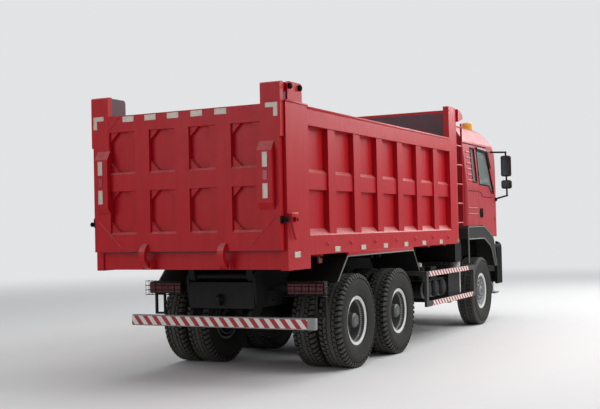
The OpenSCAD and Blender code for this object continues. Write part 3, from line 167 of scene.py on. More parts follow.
def dusty(name, base, amount, roughness, low=0.7, high=1.9, grain=0.02, depth=0.0015, metallic=0.0, gloss=0.3,
          worn_and_shaded=None, shaded=None, ledges=0.0):
    """A finish with mottled colour, dust that thickens towards the ground and on ledges, and a fine relief.
    grain is the width of the relief in metres. low and high are the heights between which the dust thins out.
    scuffed, if given, is a box (two corners) and the colour inside it: paint worn through, and painted shade.
    shaded names an attribute of the mesh whose painted shade darkens the finish. ledges is how much painted
    highlight, in a pale tone, lies on sloping ledges."""
    made, tree, coords = start_material(name)
    place = (coords, "Object")
    # Patches 0.6 m wide, runs about 65 mm wide and 650 mm tall, and the fine grain
    broad = add(tree, "ShaderNodeTexNoise", {"Scale": 1 / 0.6, "Detail": 5, "Roughness": 0.65},
                {"Vector": place})
    runs = add(tree, "ShaderNodeMapping", {"Scale": (7, 7, 0.7)}, {"Vector": place})
    streaks = add(tree, "ShaderNodeTexNoise", {"Scale": 2.2, "Detail": 4, "Roughness": 0.6},
                  {"Vector": (runs, "Vector")})
    speck = add(tree, "ShaderNodeTexNoise", {"Scale": 1 / grain, "Detail": 4, "Roughness": 0.7},
                {"Vector": place})
    # Dust lies near the ground and on what faces up, and thickens where patches and runs meet
    split = add(tree, "ShaderNodeSeparateXYZ", links={"Vector": place})
    near = add(tree, "ShaderNodeMapRange", {"From Min": high, "From Max": low}, {"Value": (split, "Z")})
    facing = add(tree, "ShaderNodeNewGeometry")
    tilt = add(tree, "ShaderNodeSeparateXYZ", links={"Vector": (facing, "Normal")})
    ledge = add(tree, "ShaderNodeMapRange", {"From Min": 0.3, "From Max": 1.0, "To Max": 0.75},
                {"Value": (tilt, "Z")})
    most = add(tree, "ShaderNodeMath", {"operation": "MAXIMUM"},
               {"Value": (near, "Result"), "Value_001": (ledge, "Result")})
    patch = add(tree, "ShaderNodeMath", {"operation": "MULTIPLY"},
                {"Value": (broad, "Fac"), "Value_001": (streaks, "Fac")})
    cover = add(tree, "ShaderNodeMapRange", {"From Min": 0.12, "From Max": 0.37, "To Min": 0.3},
                {"Value": (patch, "Value")})
    layer = add(tree, "ShaderNodeMath", {"operation": "MULTIPLY"},
                {"Value": (most, "Value"), "Value_001": (cover, "Result")})
    veil = add(tree, "ShaderNodeMath",
               {"operation": "MULTIPLY_ADD", "Value_001": amount, "Value_002": amount * 0.16},
               {"Value": (layer, "Value")})
    # The paint's own tone varies a little under the dust
    dark = [c * 0.9 for c in base[:3]] + [1]
    pale = [min(1, c * 1.06 + 0.002) for c in base[:3]] + [1]
    mottle = add(tree, "ShaderNodeMapRange", {"From Min": 0.3, "From Max": 0.7}, {"Value": (streaks, "Fac")})
    paint = add(tree, "ShaderNodeMix", {"data_type": "RGBA", "A_Color": dark, "B_Color": pale},
                {"Factor_Float": (mottle, "Result")})
    colour = add(tree, "ShaderNodeMix", {"data_type": "RGBA", "B_Color": colours().dust},
                 {"Factor_Float": (veil, "Value"), "A_Color": (paint, "Result_Color")})
    # Painted highlight: a pale tone on sloping faces that stands for the light they catch, stronger along the
    # streaks
    if ledges:
        slope = add(tree, "ShaderNodeMath", {"operation": "COMPARE", "Value_001": 0.62, "Value_002": 0.3},
                    {"Value": (tilt, "Z")})
        thick = add(tree, "ShaderNodeMapRange",
                    {"From Min": 0.25, "From Max": 0.7, "To Min": ledges * 0.5, "To Max": ledges},
                    {"Value": (streaks, "Fac")})
        ledge_highlight = add(tree, "ShaderNodeMath", {"operation": "MULTIPLY"},
                   {"Value": (slope, "Value"), "Value_001": (thick, "Result")})
        colour = add(tree, "ShaderNodeMix", {"data_type": "RGBA", "B_Color": colours().ledge_highlight_tone},
                     {"Factor_Float": (ledge_highlight, "Value"), "A_Color": (colour, "Result_Color")})
    # Painted shade from a mark on the mesh
    if shaded:
        deep = add(tree, "ShaderNodeAttribute", {"attribute_name": shaded})
        colour = add(tree, "ShaderNodeMix", {"data_type": "RGBA", "B_Color": DEEP_SHADE},
                     {"Factor_Float": (deep, "Fac"), "A_Color": (colour, "Result_Color")})
    # Inside the box, worn paint and painted shade darken the colour
    if worn_and_shaded:
        inside = in_box(tree, split, *worn_and_shaded[:2])
        wear_and_shade_patches = add(tree, "ShaderNodeMapRange", {"From Min": 0.25, "From Max": 0.5, "To Min": 0.6},
                   {"Value": (broad, "Fac")})
        wear_and_shade_mask = add(tree, "ShaderNodeMath", {"operation": "MULTIPLY"},
                   {"Value": (inside, "Value"), "Value_001": (wear_and_shade_patches, "Result")})
        colour = add(tree, "ShaderNodeMix", {"data_type": "RGBA", "B_Color": worn_and_shaded[2]},
                     {"Factor_Float": (wear_and_shade_mask, "Value"), "A_Color": (colour, "Result_Color")})
    # The grain breaks up the shine and gives the relief
    rough = add(tree, "ShaderNodeMapRange",
                {"To Min": roughness - 0.06, "To Max": min(0.95, roughness + 0.22)},
                {"Value": (speck, "Fac")})
    relief = add(tree, "ShaderNodeBump", {"Strength": 0.35, "Distance": depth}, {"Height": (speck, "Fac")})
    shader = add(tree, "ShaderNodeBsdfPrincipled", {"Metallic": metallic, "Specular IOR Level": gloss},
                 {"Base Color": (colour, "Result_Color"), "Roughness": (rough, "Result"),
                  "Normal": (relief, "Normal")})
    end_material(tree, shader)
    return made


# Modelling

def clear_faces():
    """Selection by faces with none selected, so that the next lines can pick them."""
    bpy.ops.object.mode_set(mode="EDIT")
    bpy.ops.mesh.select_mode(type="FACE")
    bpy.ops.mesh.select_all(action="DESELECT")
    bpy.ops.object.mode_set(mode="OBJECT")


def leave_edit():
    """Back to selection by vertices, and out of edit mode."""
    bpy.ops.mesh.select_mode(type="VERT")
    bpy.ops.object.mode_set(mode="OBJECT")


def span_of(side, near, far):
    """Low and high Y between two distances from the middle, on one side of the lorry."""
    return sorted((side * near, side * far))


def block(low, high, round_by=0.003, steps=2):
    """A box between two corners, its edges rounded."""
    bpy.ops.object.select_all(action="DESELECT")
    centre = [(a + b) / 2 for a, b in zip(low, high)]
    span = [b - a for a, b in zip(low, high)]
    bpy.ops.mesh.primitive_cube_add(size=1, location=centre, scale=span)
    made = bpy.context.object
    bpy.ops.object.transform_apply(location=True, rotation=True, scale=True)
    if round_by:
        bpy.ops.object.mode_set(mode="EDIT")
        bpy.ops.mesh.select_all(action="SELECT")
        bpy.ops.mesh.bevel(offset=min(round_by, min(span) * 0.45), segments=steps, affect="EDGES")
        bpy.ops.object.mode_set(mode="OBJECT")
    return made


def rod(start, end, radius, sides=20, round_by=0.002):
    """A round bar between two points, its ends rounded off."""
    bpy.ops.object.select_all(action="DESELECT")
    start, end = Vector(start), Vector(end)
    along = end - start
    bpy.ops.mesh.primitive_cylinder_add(vertices=sides, radius=radius, depth=along.length,
                                        location=(start + end) / 2,
                                        rotation=along.to_track_quat("Z", "Y").to_euler())
    made = bpy.context.object
    bpy.ops.object.transform_apply(location=True, rotation=True, scale=True)
    if round_by:
        bpy.ops.object.mode_set(mode="EDIT")
        bpy.ops.mesh.select_mode(type="EDGE")
        bpy.ops.mesh.select_all(action="SELECT")
        bpy.ops.object.mode_set(mode="OBJECT")
        along.normalize()
        for edge in made.data.edges:
            a, b = (made.data.vertices[i].co for i in edge.vertices)
            edge.select = abs((b - a).normalized().dot(along)) < 0.5
        bpy.ops.object.mode_set(mode="EDIT")
        bpy.ops.mesh.bevel(offset=min(round_by, radius * 0.45), segments=2, affect="EDGES")
        leave_edit()
    return made


def pipe(points, radius, sides=10, smooth=True):
    """A bent tube through a row of points."""
    bpy.ops.object.select_all(action="DESELECT")
    bpy.ops.curve.primitive_nurbs_path_add()
    made = bpy.context.object
    made.location = (0, 0, 0)
    made.data.splines.clear()
    line = made.data.splines.new("NURBS" if smooth else "POLY")
    line.points.add(len(points) - 1)
    for spot, place in zip(line.points, points):
        spot.co = (*place, 1)
    line.use_endpoint_u = True
    line.order_u = min(4, len(points))
    made.data.bevel_depth = radius
    made.data.bevel_resolution = max(0, sides // 4 - 1)
    made.data.resolution_u = 6
    made.data.use_fill_caps = True
    bpy.ops.object.convert(target="MESH")
    return bpy.context.object


def turned(profile, axis_start, axis, steps=32):
    """A closed outline of (radius, distance along the axis) spun round the axis."""
    bpy.ops.object.select_all(action="DESELECT")
    side = Vector(axis).orthogonal().normalized()
    axis = Vector(axis).normalized()
    origin = Vector(axis_start)
    bpy.ops.mesh.primitive_plane_add(size=0.001)
    made = bpy.context.object
    bpy.ops.object.mode_set(mode="EDIT")
    bpy.ops.mesh.select_all(action="SELECT")
    bpy.ops.mesh.merge(type="CENTER")
    radius, along = profile[0]
    here = origin + side * radius + axis * along
    bpy.ops.transform.translate(value=here)
    for radius, along in profile[1:]:
        there = origin + side * radius + axis * along
        bpy.ops.mesh.extrude_region_move(TRANSFORM_OT_translate={"value": there - here})
        here = there
    bpy.ops.mesh.select_all(action="SELECT")
    bpy.ops.mesh.spin(steps=steps, angle=2 * math.pi, center=origin, axis=axis)
    bpy.ops.mesh.select_all(action="SELECT")
    bpy.ops.mesh.remove_doubles(threshold=0.00005)
    bpy.ops.mesh.normals_make_consistent(inside=False)
    bpy.ops.object.mode_set(mode="OBJECT")
    return made


def framed(low, high, facing, rim=0.006, sink=0.002):
    """A small plate with a raised rim round the face that looks along facing."""
    made = block(low, high, 0.0015, 1)
    facing = Vector(facing)
    clear_faces()
    front = max(made.data.polygons, key=lambda poly: poly.normal.dot(facing) * poly.area)
    front.select = True
    bpy.ops.object.mode_set(mode="EDIT")
    bpy.ops.mesh.inset(thickness=rim)
    bpy.ops.mesh.extrude_region_move(TRANSFORM_OT_translate={"value": facing * -sink})
    leave_edit()
    return made


def bolt_head(place, facing, width=None):
    """A hexagon bolt head with a washer, standing on a face."""
    width = width or sizes().bolt
    facing = Vector(facing).normalized()
    place = Vector(place)
    washer = rod(place - facing * 0.001, place + facing * 0.004, width * 0.62, 16, 0.001)
    head = rod(place + facing * 0.003, place + facing * (0.004 + width * 0.5), width * 0.5, 6, width * 0.06)
    return joined([washer, head])


def twin_of(piece, change):
    """A copy of a piece with its own mesh, moved by a matrix."""
    twin = piece.copy()
    twin.data = piece.data.copy()
    bpy.context.collection.objects.link(twin)
    twin.data.transform(change)
    return twin


def copies(first, moves):
    """Copies of a piece, each moved by a vector, in place of the first."""
    made = [twin_of(first, Matrix.Translation(move)) for move in moves]
    bpy.data.objects.remove(first)
    return made


def joined(parts):
    """Several shapes as one piece."""
    bpy.ops.object.select_all(action="DESELECT")
    for part in parts:
        part.select_set(True)
    bpy.context.view_layer.objects.active = parts[0]
    if len(parts) > 1:
        bpy.ops.object.join()
    return bpy.context.view_layer.objects.active


def fit(piece, name, body, finish, angle=35):
    """Names a finished piece, gives it its finish and makes it ride on its body."""
    bpy.ops.object.select_all(action="DESELECT")
    piece.select_set(True)
    bpy.context.view_layer.objects.active = piece
    bpy.ops.object.shade_smooth_by_angle(angle=math.radians(angle))
    piece.name = name
    piece.data.name = name
    piece.data.materials.clear()
    piece.data.materials.append(finish)
    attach(piece, body)
    return piece


def mirrored(piece):
    """A copy of a piece on the other side of the lorry."""
    twin = twin_of(piece, Matrix.Scale(-1, 4, ACROSS))
    twin.data.flip_normals()
    return twin


def on_both_sides(right, name, body, finish_name, angle=35):
    """Fits a piece of the right-hand side and its mirror image on the same body."""
    left = mirrored(right)
    fit(right, name + "_right", body, finish(finish_name), angle)
    fit(left, name + "_left", body, finish(finish_name), angle)


# Finishes

# Length in metres after which a wave texture of scale one repeats
WAVE_LENGTH = 0.314


def body_enamel():
    """Enamel sprayed on welded steel plate: slightly wavy gloss under dry dust, with painted highlight on its
    ledges.
    Inside it is worn through and darkened with painted shade.
    """
    tone = colours()
    inside = ((-4.19, -1.149, 1.44), (1.5605, 1.149, 3.45), tone.worn_and_shaded)
    return dusty("Enamel on steel plate", tone.body_red, 0.025, 0.3, low=1.2, high=1.8, grain=0.09,
                 depth=0.003, gloss=0.22, ledges=0.24, worn_and_shaded=inside)


def cab_lacquer():
    """Lacquer on pressed cab steel: smoother than the body's enamel, under a heavier grey veil, thickest on
    what faces up.
    """
    return dusty("Lacquer on pressed steel", colours().cab_red, 0.5, 0.28, low=0.4, high=1.2, grain=0.2,
                 depth=0.002, gloss=0.16)


def chassis_paint():
    """Satin chassis paint, grey with road dust."""
    return dusty("Satin chassis paint", colours().chassis, 0.035, 0.5, low=0.3, high=1.2, grain=0.012,
                 depth=0.001, gloss=0.2)


def grained_plastic():
    """Moulded polypropylene with a fine leather grain, dulled by dust."""
    return dusty("Grained polypropylene", colours().plastic, 0.03, 0.55, low=0.4, high=1.2, grain=0.006,
                 depth=0.0008, gloss=0.04)


def tyre_rubber():
    """Vulcanised rubber, greyed by dry earth on its lugs, with painted shade in its grooves and darker
    sidewalls.
    """
    return dusty("Tyre rubber", colours().rubber, 0.06, 0.7, low=0.0, high=0.9, grain=0.009, depth=0.0012,
                 gloss=0.2, shaded="groove_shade_and_dark_walls")


def galvanised():
    """Cast and galvanised metal: a dull grey with a coarse mottling."""
    return dusty("Galvanised steel", srgb("#8E9292"), 0.1, 0.42, grain=0.015, depth=0.0008, metallic=0.55)


def engine_casting():
    """Sand-cast iron with a granular skin."""
    return dusty("Sand-cast iron", srgb("#4A4D4F"), 0.12, 0.62, grain=0.008, depth=0.002, metallic=0.2)


def white_plastic():
    """Moulded pale plastic, yellowed a little."""
    return dusty("Moulded polyethylene", srgb("#C9C8C0"), 0.1, 0.5, grain=0.02, depth=0.0006)


def hoist_enamel():
    """Grey enamel on the hoist's barrel, with oily dust."""
    return dusty("Grey machine enamel", srgb("#5C6062"), 0.1, 0.42, low=0.8, high=2.2, grain=0.02,
                 depth=0.001)


def seat_cloth():
    """Woven seat cloth: a dull weave, drawn at 12 mm so that it shows through the glass."""
    return dusty("Woven seat cloth", srgb("#3B3F43"), 0.04, 0.85, grain=0.012, depth=0.002)


def chrome():
    """Hard chromed rod: a bright, faintly drawn surface with an oil film."""
    made, tree, coords = start_material("Hard chromed steel")
    drawn = add(tree, "ShaderNodeMapping", {"Scale": (90, 90, 3)}, {"Vector": (coords, "Object")})
    lines = add(tree, "ShaderNodeTexNoise", {"Scale": 4, "Detail": 3}, {"Vector": (drawn, "Vector")})
    rough = add(tree, "ShaderNodeMapRange", {"To Min": 0.08, "To Max": 0.26}, {"Value": (lines, "Fac")})
    tint = add(tree, "ShaderNodeMix",
               {"data_type": "RGBA", "A_Color": srgb("#B9BDC0"), "B_Color": srgb("#D9DBDC")},
               {"Factor_Float": (lines, "Fac")})
    shader = add(tree, "ShaderNodeBsdfPrincipled", {"Metallic": 1.0},
                 {"Base Color": (tint, "Result_Color"), "Roughness": (rough, "Result")})
    end_material(tree, shader)
    return made


def window_glass():
    """Tinted safety glass: smooth, with an uneven film of dust that dulls it in patches.
    Its pale, mostly diffuse grey is painted reflection of the bright surroundings.
    """
    made, tree, coords = start_material("Tinted safety glass")
    film = add(tree, "ShaderNodeTexNoise", {"Scale": 3, "Detail": 5}, {"Vector": (coords, "Object")})
    rough = add(tree, "ShaderNodeMapRange",
                {"From Min": 0.35, "From Max": 0.8, "To Min": 0.02, "To Max": 0.16},
                {"Value": (film, "Fac")})
    tone = colours().glass
    tint = add(tree, "ShaderNodeMix",
               {"data_type": "RGBA", "A_Color": tone, "B_Color": [c * 0.8 for c in tone[:3]] + [1]},
               {"Factor_Float": (film, "Fac")})
    # The tint, diffuse for the most part, is painted reflection
    shader = add(tree, "ShaderNodeBsdfPrincipled", {"IOR": 1.52, "Transmission Weight": 0.3},
                 {"Base Color": (tint, "Result_Color"), "Roughness": (rough, "Result")})
    end_material(tree, shader)
    return made


def lens(name, colour, flute):
    """A moulded lens: clear acrylic over a colour, with flutes that repeat every flute metres."""
    made, tree, coords = start_material(name)
    flutes = add(tree, "ShaderNodeTexWave",
                 {"Scale": WAVE_LENGTH / flute, "Distortion": 0.0, "bands_direction": "Y"},
                 {"Vector": (coords, "Object")})
    cloud = add(tree, "ShaderNodeTexNoise", {"Scale": 14, "Detail": 4}, {"Vector": (coords, "Object")})
    tint = add(tree, "ShaderNodeMix",
               {"data_type": "RGBA", "A_Color": [c * 0.7 for c in colour[:3]] + [1], "B_Color": colour},
               {"Factor_Float": (cloud, "Fac")})
    relief = add(tree, "ShaderNodeBump", {"Strength": 0.5, "Distance": 0.002}, {"Height": (flutes, "Fac")})
    shader = add(tree, "ShaderNodeBsdfPrincipled",
                 {"Roughness": 0.14, "Coat Weight": 0.6, "Coat Roughness": 0.05},
                 {"Base Color": (tint, "Result_Color"), "Normal": (relief, "Normal")})
    end_material(tree, shader)
    return made


def marking_tape(name, axis, width, lean):
    """Retroreflective tape in red and white bands of one width, dulled unevenly over a fine cell pattern.
    axis runs along the bar, and lean slants the bands."""
    made, tree, coords = start_material(name)
    split = add(tree, "ShaderNodeSeparateXYZ", links={"Vector": (coords, "Object")})
    slant = add(tree, "ShaderNodeMath", {"operation": "MULTIPLY_ADD", "Value_001": lean},
                {"Value": (split, "Z"), "Value_002": (split, axis)})
    turns = add(tree, "ShaderNodeMath", {"operation": "DIVIDE", "Value_001": 2 * width},
                {"Value": (slant, "Value")})
    part = add(tree, "ShaderNodeMath", {"operation": "FRACT"}, {"Value": (turns, "Value")})
    band = add(tree, "ShaderNodeMath", {"operation": "GREATER_THAN", "Value_001": 0.5},
               {"Value": (part, "Value")})
    tone = colours()
    bands = add(tree, "ShaderNodeMix",
                {"data_type": "RGBA", "A_Color": tone.tape_white, "B_Color": tone.tape_red},
                {"Factor_Float": (band, "Value")})
    grime = add(tree, "ShaderNodeTexNoise", {"Scale": 9, "Detail": 6, "Roughness": 0.7},
                {"Vector": (coords, "Object")})
    film = add(tree, "ShaderNodeMapRange", {"From Min": 0.4, "From Max": 0.75, "To Max": 0.12},
               {"Value": (grime, "Fac")})
    colour = add(tree, "ShaderNodeMix", {"data_type": "RGBA", "B_Color": tone.dust},
                 {"Factor_Float": (film, "Result"), "A_Color": (bands, "Result_Color")})
    cells = add(tree, "ShaderNodeTexVoronoi", {"Scale": 1 / 0.008}, {"Vector": (coords, "Object")})
    relief = add(tree, "ShaderNodeBump", {"Strength": 0.25, "Distance": 0.0008},
                 {"Height": (cells, "Distance")})
    shader = add(tree, "ShaderNodeBsdfPrincipled", {"Roughness": 0.38},
                 {"Base Color": (colour, "Result_Color"), "Normal": (relief, "Normal")})
    end_material(tree, shader)
    return made


def wheel_finish(name, centre_x, disc, lip, lip_r, metallic):
    """Wheel metal with another tone on its lip, from lip_r outwards, under a blotchy film of dust."""
    made, tree, coords = start_material(name)
    split = add(tree, "ShaderNodeSeparateXYZ", links={"Vector": (coords, "Object")})
    from_x = add(tree, "ShaderNodeMath", {"operation": "SUBTRACT", "Value_001": centre_x},
                 {"Value": (split, "X")})
    from_z = add(tree, "ShaderNodeMath", {"operation": "SUBTRACT", "Value_001": AXLE_Z},
                 {"Value": (split, "Z")})
    flat = add(tree, "ShaderNodeCombineXYZ", links={"X": (from_x, "Value"), "Z": (from_z, "Value")})
    radius = add(tree, "ShaderNodeVectorMath", {"operation": "LENGTH"}, {"Vector": (flat, "Vector")})
    outer = add(tree, "ShaderNodeMapRange", {"From Min": lip_r - 0.003, "From Max": lip_r + 0.003},
                {"Value": (radius, "Value")})
    grime = add(tree, "ShaderNodeTexNoise", {"Scale": 11, "Detail": 6, "Roughness": 0.7},
                {"Vector": (coords, "Object")})
    film = add(tree, "ShaderNodeMapRange", {"From Min": 0.35, "From Max": 0.8, "To Max": 0.16},
               {"Value": (grime, "Fac")})
    paint = add(tree, "ShaderNodeMix", {"data_type": "RGBA", "A_Color": disc, "B_Color": lip},
                {"Factor_Float": (outer, "Result")})
    colour = add(tree, "ShaderNodeMix", {"data_type": "RGBA", "B_Color": colours().dust},
                 {"Factor_Float": (film, "Result"), "A_Color": (paint, "Result_Color")})
    rough = add(tree, "ShaderNodeMapRange", {"To Min": 0.3, "To Max": 0.6}, {"Value": (grime, "Fac")})
    relief = add(tree, "ShaderNodeBump", {"Strength": 0.2, "Distance": 0.001}, {"Height": (grime, "Fac")})
    shader = add(tree, "ShaderNodeBsdfPrincipled", {"Metallic": metallic},
                 {"Base Color": (colour, "Result_Color"), "Roughness": (rough, "Result"),
                  "Normal": (relief, "Normal")})
    end_material(tree, shader)
    return made


def finish(name):
    """One of the finishes above, made once."""
    if name not in MADE:
        MADE[name] = FINISHES[name]()
    return MADE[name]


MADE = {}
FINISHES = {
    "enamel": body_enamel,
    "lacquer": cab_lacquer,
    "chassis": chassis_paint,
    "plastic": grained_plastic,
    # Satin paint on the side guards, greyer than the frame's
    "grey chassis": lambda: dusty("Grey chassis paint", srgb("#3B3D3C"), 0.08, 0.5,
                                  low=0.3, high=1.2, grain=0.012, depth=0.001),
    # Edges of the arches, pale as a painted highlight
    "edge highlight plastic": lambda: dusty("Polypropylene edge with painted highlight", srgb("#6E726F"), 0.06, 0.45,
                                  grain=0.01, depth=0.0006),
    # Arches in a paler grey than the other trim
    "fender plastic": lambda: dusty("Pale grey polypropylene", srgb("#2A2D2A"), 0.05, 0.5,
                                    grain=0.006, depth=0.0008, gloss=0.15),
    "rubber": tyre_rubber,
    "galvanised": galvanised,
    "casting": engine_casting,
    "white plastic": white_plastic,
    "hoist": hoist_enamel,
    "cloth": seat_cloth,
    "chrome": chrome,
    "glass": window_glass,
    # Acrylic lamps, with wider flutes on the rear ones
    "red lens": lambda: lens("Red acrylic lens", colours().lamp_red, 0.02),
    "amber lens": lambda: lens("Amber acrylic lens", colours().amber, 0.012),
    "clear lens": lambda: lens("Clear acrylic lens", srgb("#B9C0C4"), 0.016),
    # Bare rolled steel: pale and smooth, with a thin film of dust
    "rim": lambda: dusty("Rolled rim steel", colours().rim, 0.05, 0.34,
                         grain=0.01, depth=0.0004, metallic=0.1),
    # Smoked acrylic: dark and shiny
    "gloss black": lambda: dusty("Smoked acrylic", srgb("#17191A"), 0.02, 0.12,
                                 grain=0.1, depth=0.0004, gloss=0.6),
    # Silvered glass: it mirrors the surroundings, slightly dulled
    "mirror": lambda: dusty("Silvered glass", srgb("#747A7E"), 0.02, 0.08,
                            grain=0.2, depth=0.0003, metallic=1.0, gloss=0.5),
    # Reflectors with fine prisms
    "white reflector": lambda: lens("White prism reflector", srgb("#D6C8BA"), 0.006),
    "red reflector": lambda: lens("Red prism reflector", srgb("#B5202A"), 0.006),
    # Tape with leaning bands
    "side tape": lambda: marking_tape("Marking tape on the side guards", "X", sizes().stripe * 0.97, 1.2),
    "rear tape": lambda: marking_tape("Marking tape on the underrun bar", "Y", sizes().stripe * 1.03, -0.79),
    # Bright alloy in front, grey paint on the driven axles
    "front wheel": lambda: wheel_finish("Polished wheel alloy", FRONT_AXLE, srgb("#86898A"), srgb("#C4C6C6"),
                                        0.236, 0.5),
    "mid wheel": lambda: wheel_finish("Wheel paint, second axle", MID_AXLE, colours().wheel, colours().wheel,
                                      0.245, 0.25),
    "rear wheel": lambda: wheel_finish("Wheel paint, third axle", REAR_AXLE, colours().wheel, colours().wheel,
                                       0.245, 0.25),
}

# Which finish each plain solid gets
SOLIDS = {
    "enamel": ["bed_floor", "bed_side_left", "bed_side_right", "headboard", "ladder", "tailgate"],
    "lacquer": ["cab_floor", "cab_back", "cab_sides", "cab_roof", "cab_front", "door_left", "door_right"],
    "chassis": ["frame", "cab_posts", "front_axle", "rear_axles", "leaf_springs", "propshafts", "air_tanks",
                "battery_box", "knuckle_left", "knuckle_right", "tie_rod", "tail_lamps", "bed_beams",
                "underrun_bar"],
    "grey chassis": ["side_guards"],
    "fender plastic": ["front_fenders"],
    "plastic": ["front_bumper", "rear_mudguards", "grille", "mirrors", "dashboard"],
    "gloss black": ["sun_visor"],
    "rubber": ["front_tyre_left", "front_tyre_right", "mid_tyres_left", "mid_tyres_right", "rear_tyres_left",
               "rear_tyres_right"],
    "front wheel": ["front_wheel_left", "front_wheel_right"],
    "mid wheel": ["mid_wheels_left", "mid_wheels_right"],
    "rear wheel": ["rear_wheels_left", "rear_wheels_right"],
    "galvanised": ["fuel_tank"],
    "casting": ["engine"],
    "cloth": ["seats"],
    "glass": ["cab_glass", "door_glass_left", "door_glass_right"],
    "clear lens": ["headlamps"],
    "amber lens": ["beacon"],
    "hoist": ["hoist_barrel"],
    "chrome": ["hoist_stage_1", "hoist_stage_2", "hoist_stage_3", "hoist_stage_4"],
}


class TIPPER_OT_finishes(bpy.types.Operator):
    """Gives every plain solid its finish"""
    bl_idname = "tipper.finishes"
    bl_label = "Finishes"

    def execute(self, context):
        for name, nodes in SOLIDS.items():
            for node in nodes:
                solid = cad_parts[node]
                for place in solid.material_slots:
                    place.material = finish(name)
        return {"FINISHED"}


# Tyres

TYRE_R = 0.562
TYRE_W = 0.300
RIM_R = 0.262
# Radius where the tread begins; inside it are the sidewalls
SHOULDER_R = 0.504
# Edges of the ribs as distances from the middle of a tyre, and how far out they swing
RIB_Y = (0.024, 0.036, 0.072, 0.084)
RIB_EDGE = 0.092
# Swing of the zigzag grooves, and the lean of the gaps between the lugs in radians for each metre outwards
ZIGZAG = 0.007
LUG_LEAN = 0.6
# Parts in which each pitch of the tread is cut, and those left out between two lugs
PITCH_PARTS = 5
LUG_GAPS = (0, 1)
# Painted shade on the floors of the grooves, and how much darker the sidewalls are, beside the lugs
FLOOR_SHADE = 0.85
WALL_SHADE = 0.6
# Each row: node it stands for, body, axle station, middles of the tyres across the lorry
TYRES = [
    ("front_tyre_left", "wheel_fl", FRONT_AXLE, [1.028]),
    ("front_tyre_right", "wheel_fr", FRONT_AXLE, [-1.028]),
    ("mid_tyres_left", "wheel_ml", MID_AXLE, [0.733, 1.078]),
    ("mid_tyres_right", "wheel_mr", MID_AXLE, [-0.733, -1.078]),
    ("rear_tyres_left", "wheel_rl", REAR_AXLE, [0.733, 1.078]),
    ("rear_tyres_right", "wheel_rr", REAR_AXLE, [-0.733, -1.078]),
]


def tyre_section():
    """Closed section of a tyre below its lugs, as (radius, distance from the middle)."""
    half = TYRE_W / 2
    base = TYRE_R - sizes().lug_depth
    # Half of the section from the bead outwards: distance from the middle, radius
    wall = [(0.098, RIM_R + 0.001), (0.106, RIM_R + 0.004), (0.112, 0.290), (0.122, 0.300), (0.130, 0.312),
            (0.135, 0.318), (0.134, 0.324), (0.140, 0.345), (half - 0.004, 0.385), (half, 0.42),
            (half - 0.001, 0.444), (half + 0.001, 0.447), (half + 0.001, 0.456), (half - 0.002, 0.459),
            (half - 0.004, 0.480), (half - 0.009, 0.496), (half - 0.016, 0.505), (half - 0.025, 0.522),
            (half - 0.030, base - 0.008)]
    ribs = [(half - 0.036, base)] + [(y, base) for y in reversed(RIB_Y)]
    section = [(r, -y) for y, r in wall + ribs] + [(r, y) for y, r in reversed(wall + ribs)]
    return section + [(RIM_R + 0.006, 0.06), (RIM_R + 0.006, -0.06), section[0]]


def turn_of(spot):
    """Angle of a point round the Y axis, from nought to a full turn."""
    return math.atan2(spot.z, spot.x) % (2 * math.pi)


def carve_tyre(gaps):
    """One tyre about the Y axis: a spun carcass with ringed sidewalls, lugs round both shoulders and ribs
    between. gaps names the parts of a pitch left out between the lugs. With none, the shoulders are ribs."""
    deep = sizes().lug_depth
    half = TYRE_W / 2
    base = TYRE_R - deep
    pitch = 2 * math.pi / sizes().pitches
    tyre = turned(tyre_section(), (0, 0, 0), ACROSS, PITCH_PARTS * sizes().pitches)
    mesh = tyre.data
    clear_faces()
    # Rows of the tread: distances from the middle, least radius, and the parts of a pitch left out
    rows = [(RIB_Y[3], half, SHOULDER_R + 0.003, gaps), (RIB_Y[1], RIB_Y[2], base - 0.004, (3,)),
            (-0.001, RIB_Y[0], base - 0.004, ())]
    for poly in mesh.polygons:
        spot = poly.center
        radius = math.hypot(spot.x, spot.z)
        # The two shoulders are half a pitch apart
        shift = PITCH_PARTS / 2 if spot.y < 0 else 0
        part = int(turn_of(spot) / pitch * PITCH_PARTS + shift) % PITCH_PARTS
        for near, far, least, left_out in rows:
            if near < abs(spot.y) < far and radius > least:
                poly.select = part not in left_out
    bpy.ops.object.mode_set(mode="EDIT")
    bpy.ops.mesh.extrude_region_shrink_fatten(
        TRANSFORM_OT_shrink_fatten={"value": deep * 0.98, "use_even_offset": True})
    bpy.ops.mesh.select_all(action="SELECT")
    bpy.ops.mesh.normals_make_consistent(inside=False)
    leave_edit()
    # The grooves between the ribs run in a zigzag, and the gaps between the lugs lean
    for point in mesh.vertices:
        if math.hypot(point.co.x, point.co.z) < SHOULDER_R:
            continue
        across = abs(point.co.y)
        if across < RIB_EDGE:
            point.co.y += ZIGZAG * (1 - 4 * abs(turn_of(point.co) / pitch % 1 - 0.5))
        else:
            point.co = Matrix.Rotation(LUG_LEAN * (across - RIB_EDGE), 3, "Y") @ point.co
    # Painted shade on the floors of the grooves, and sidewalls darker than the lugs
    groove_shade_and_dark_walls = mesh.attributes.new("groove_shade_and_dark_walls", "FLOAT", "POINT")
    for point, mark in zip(mesh.vertices, groove_shade_and_dark_walls.data):
        radius = math.hypot(point.co.x, point.co.z)
        sunk = SHOULDER_R < radius < base + 0.004 and abs(point.co.y) < half - 0.014
        if sunk:
            mark.value = FLOOR_SHADE
        elif radius < SHOULDER_R + 0.003:
            mark.value = WALL_SHADE
    return tyre


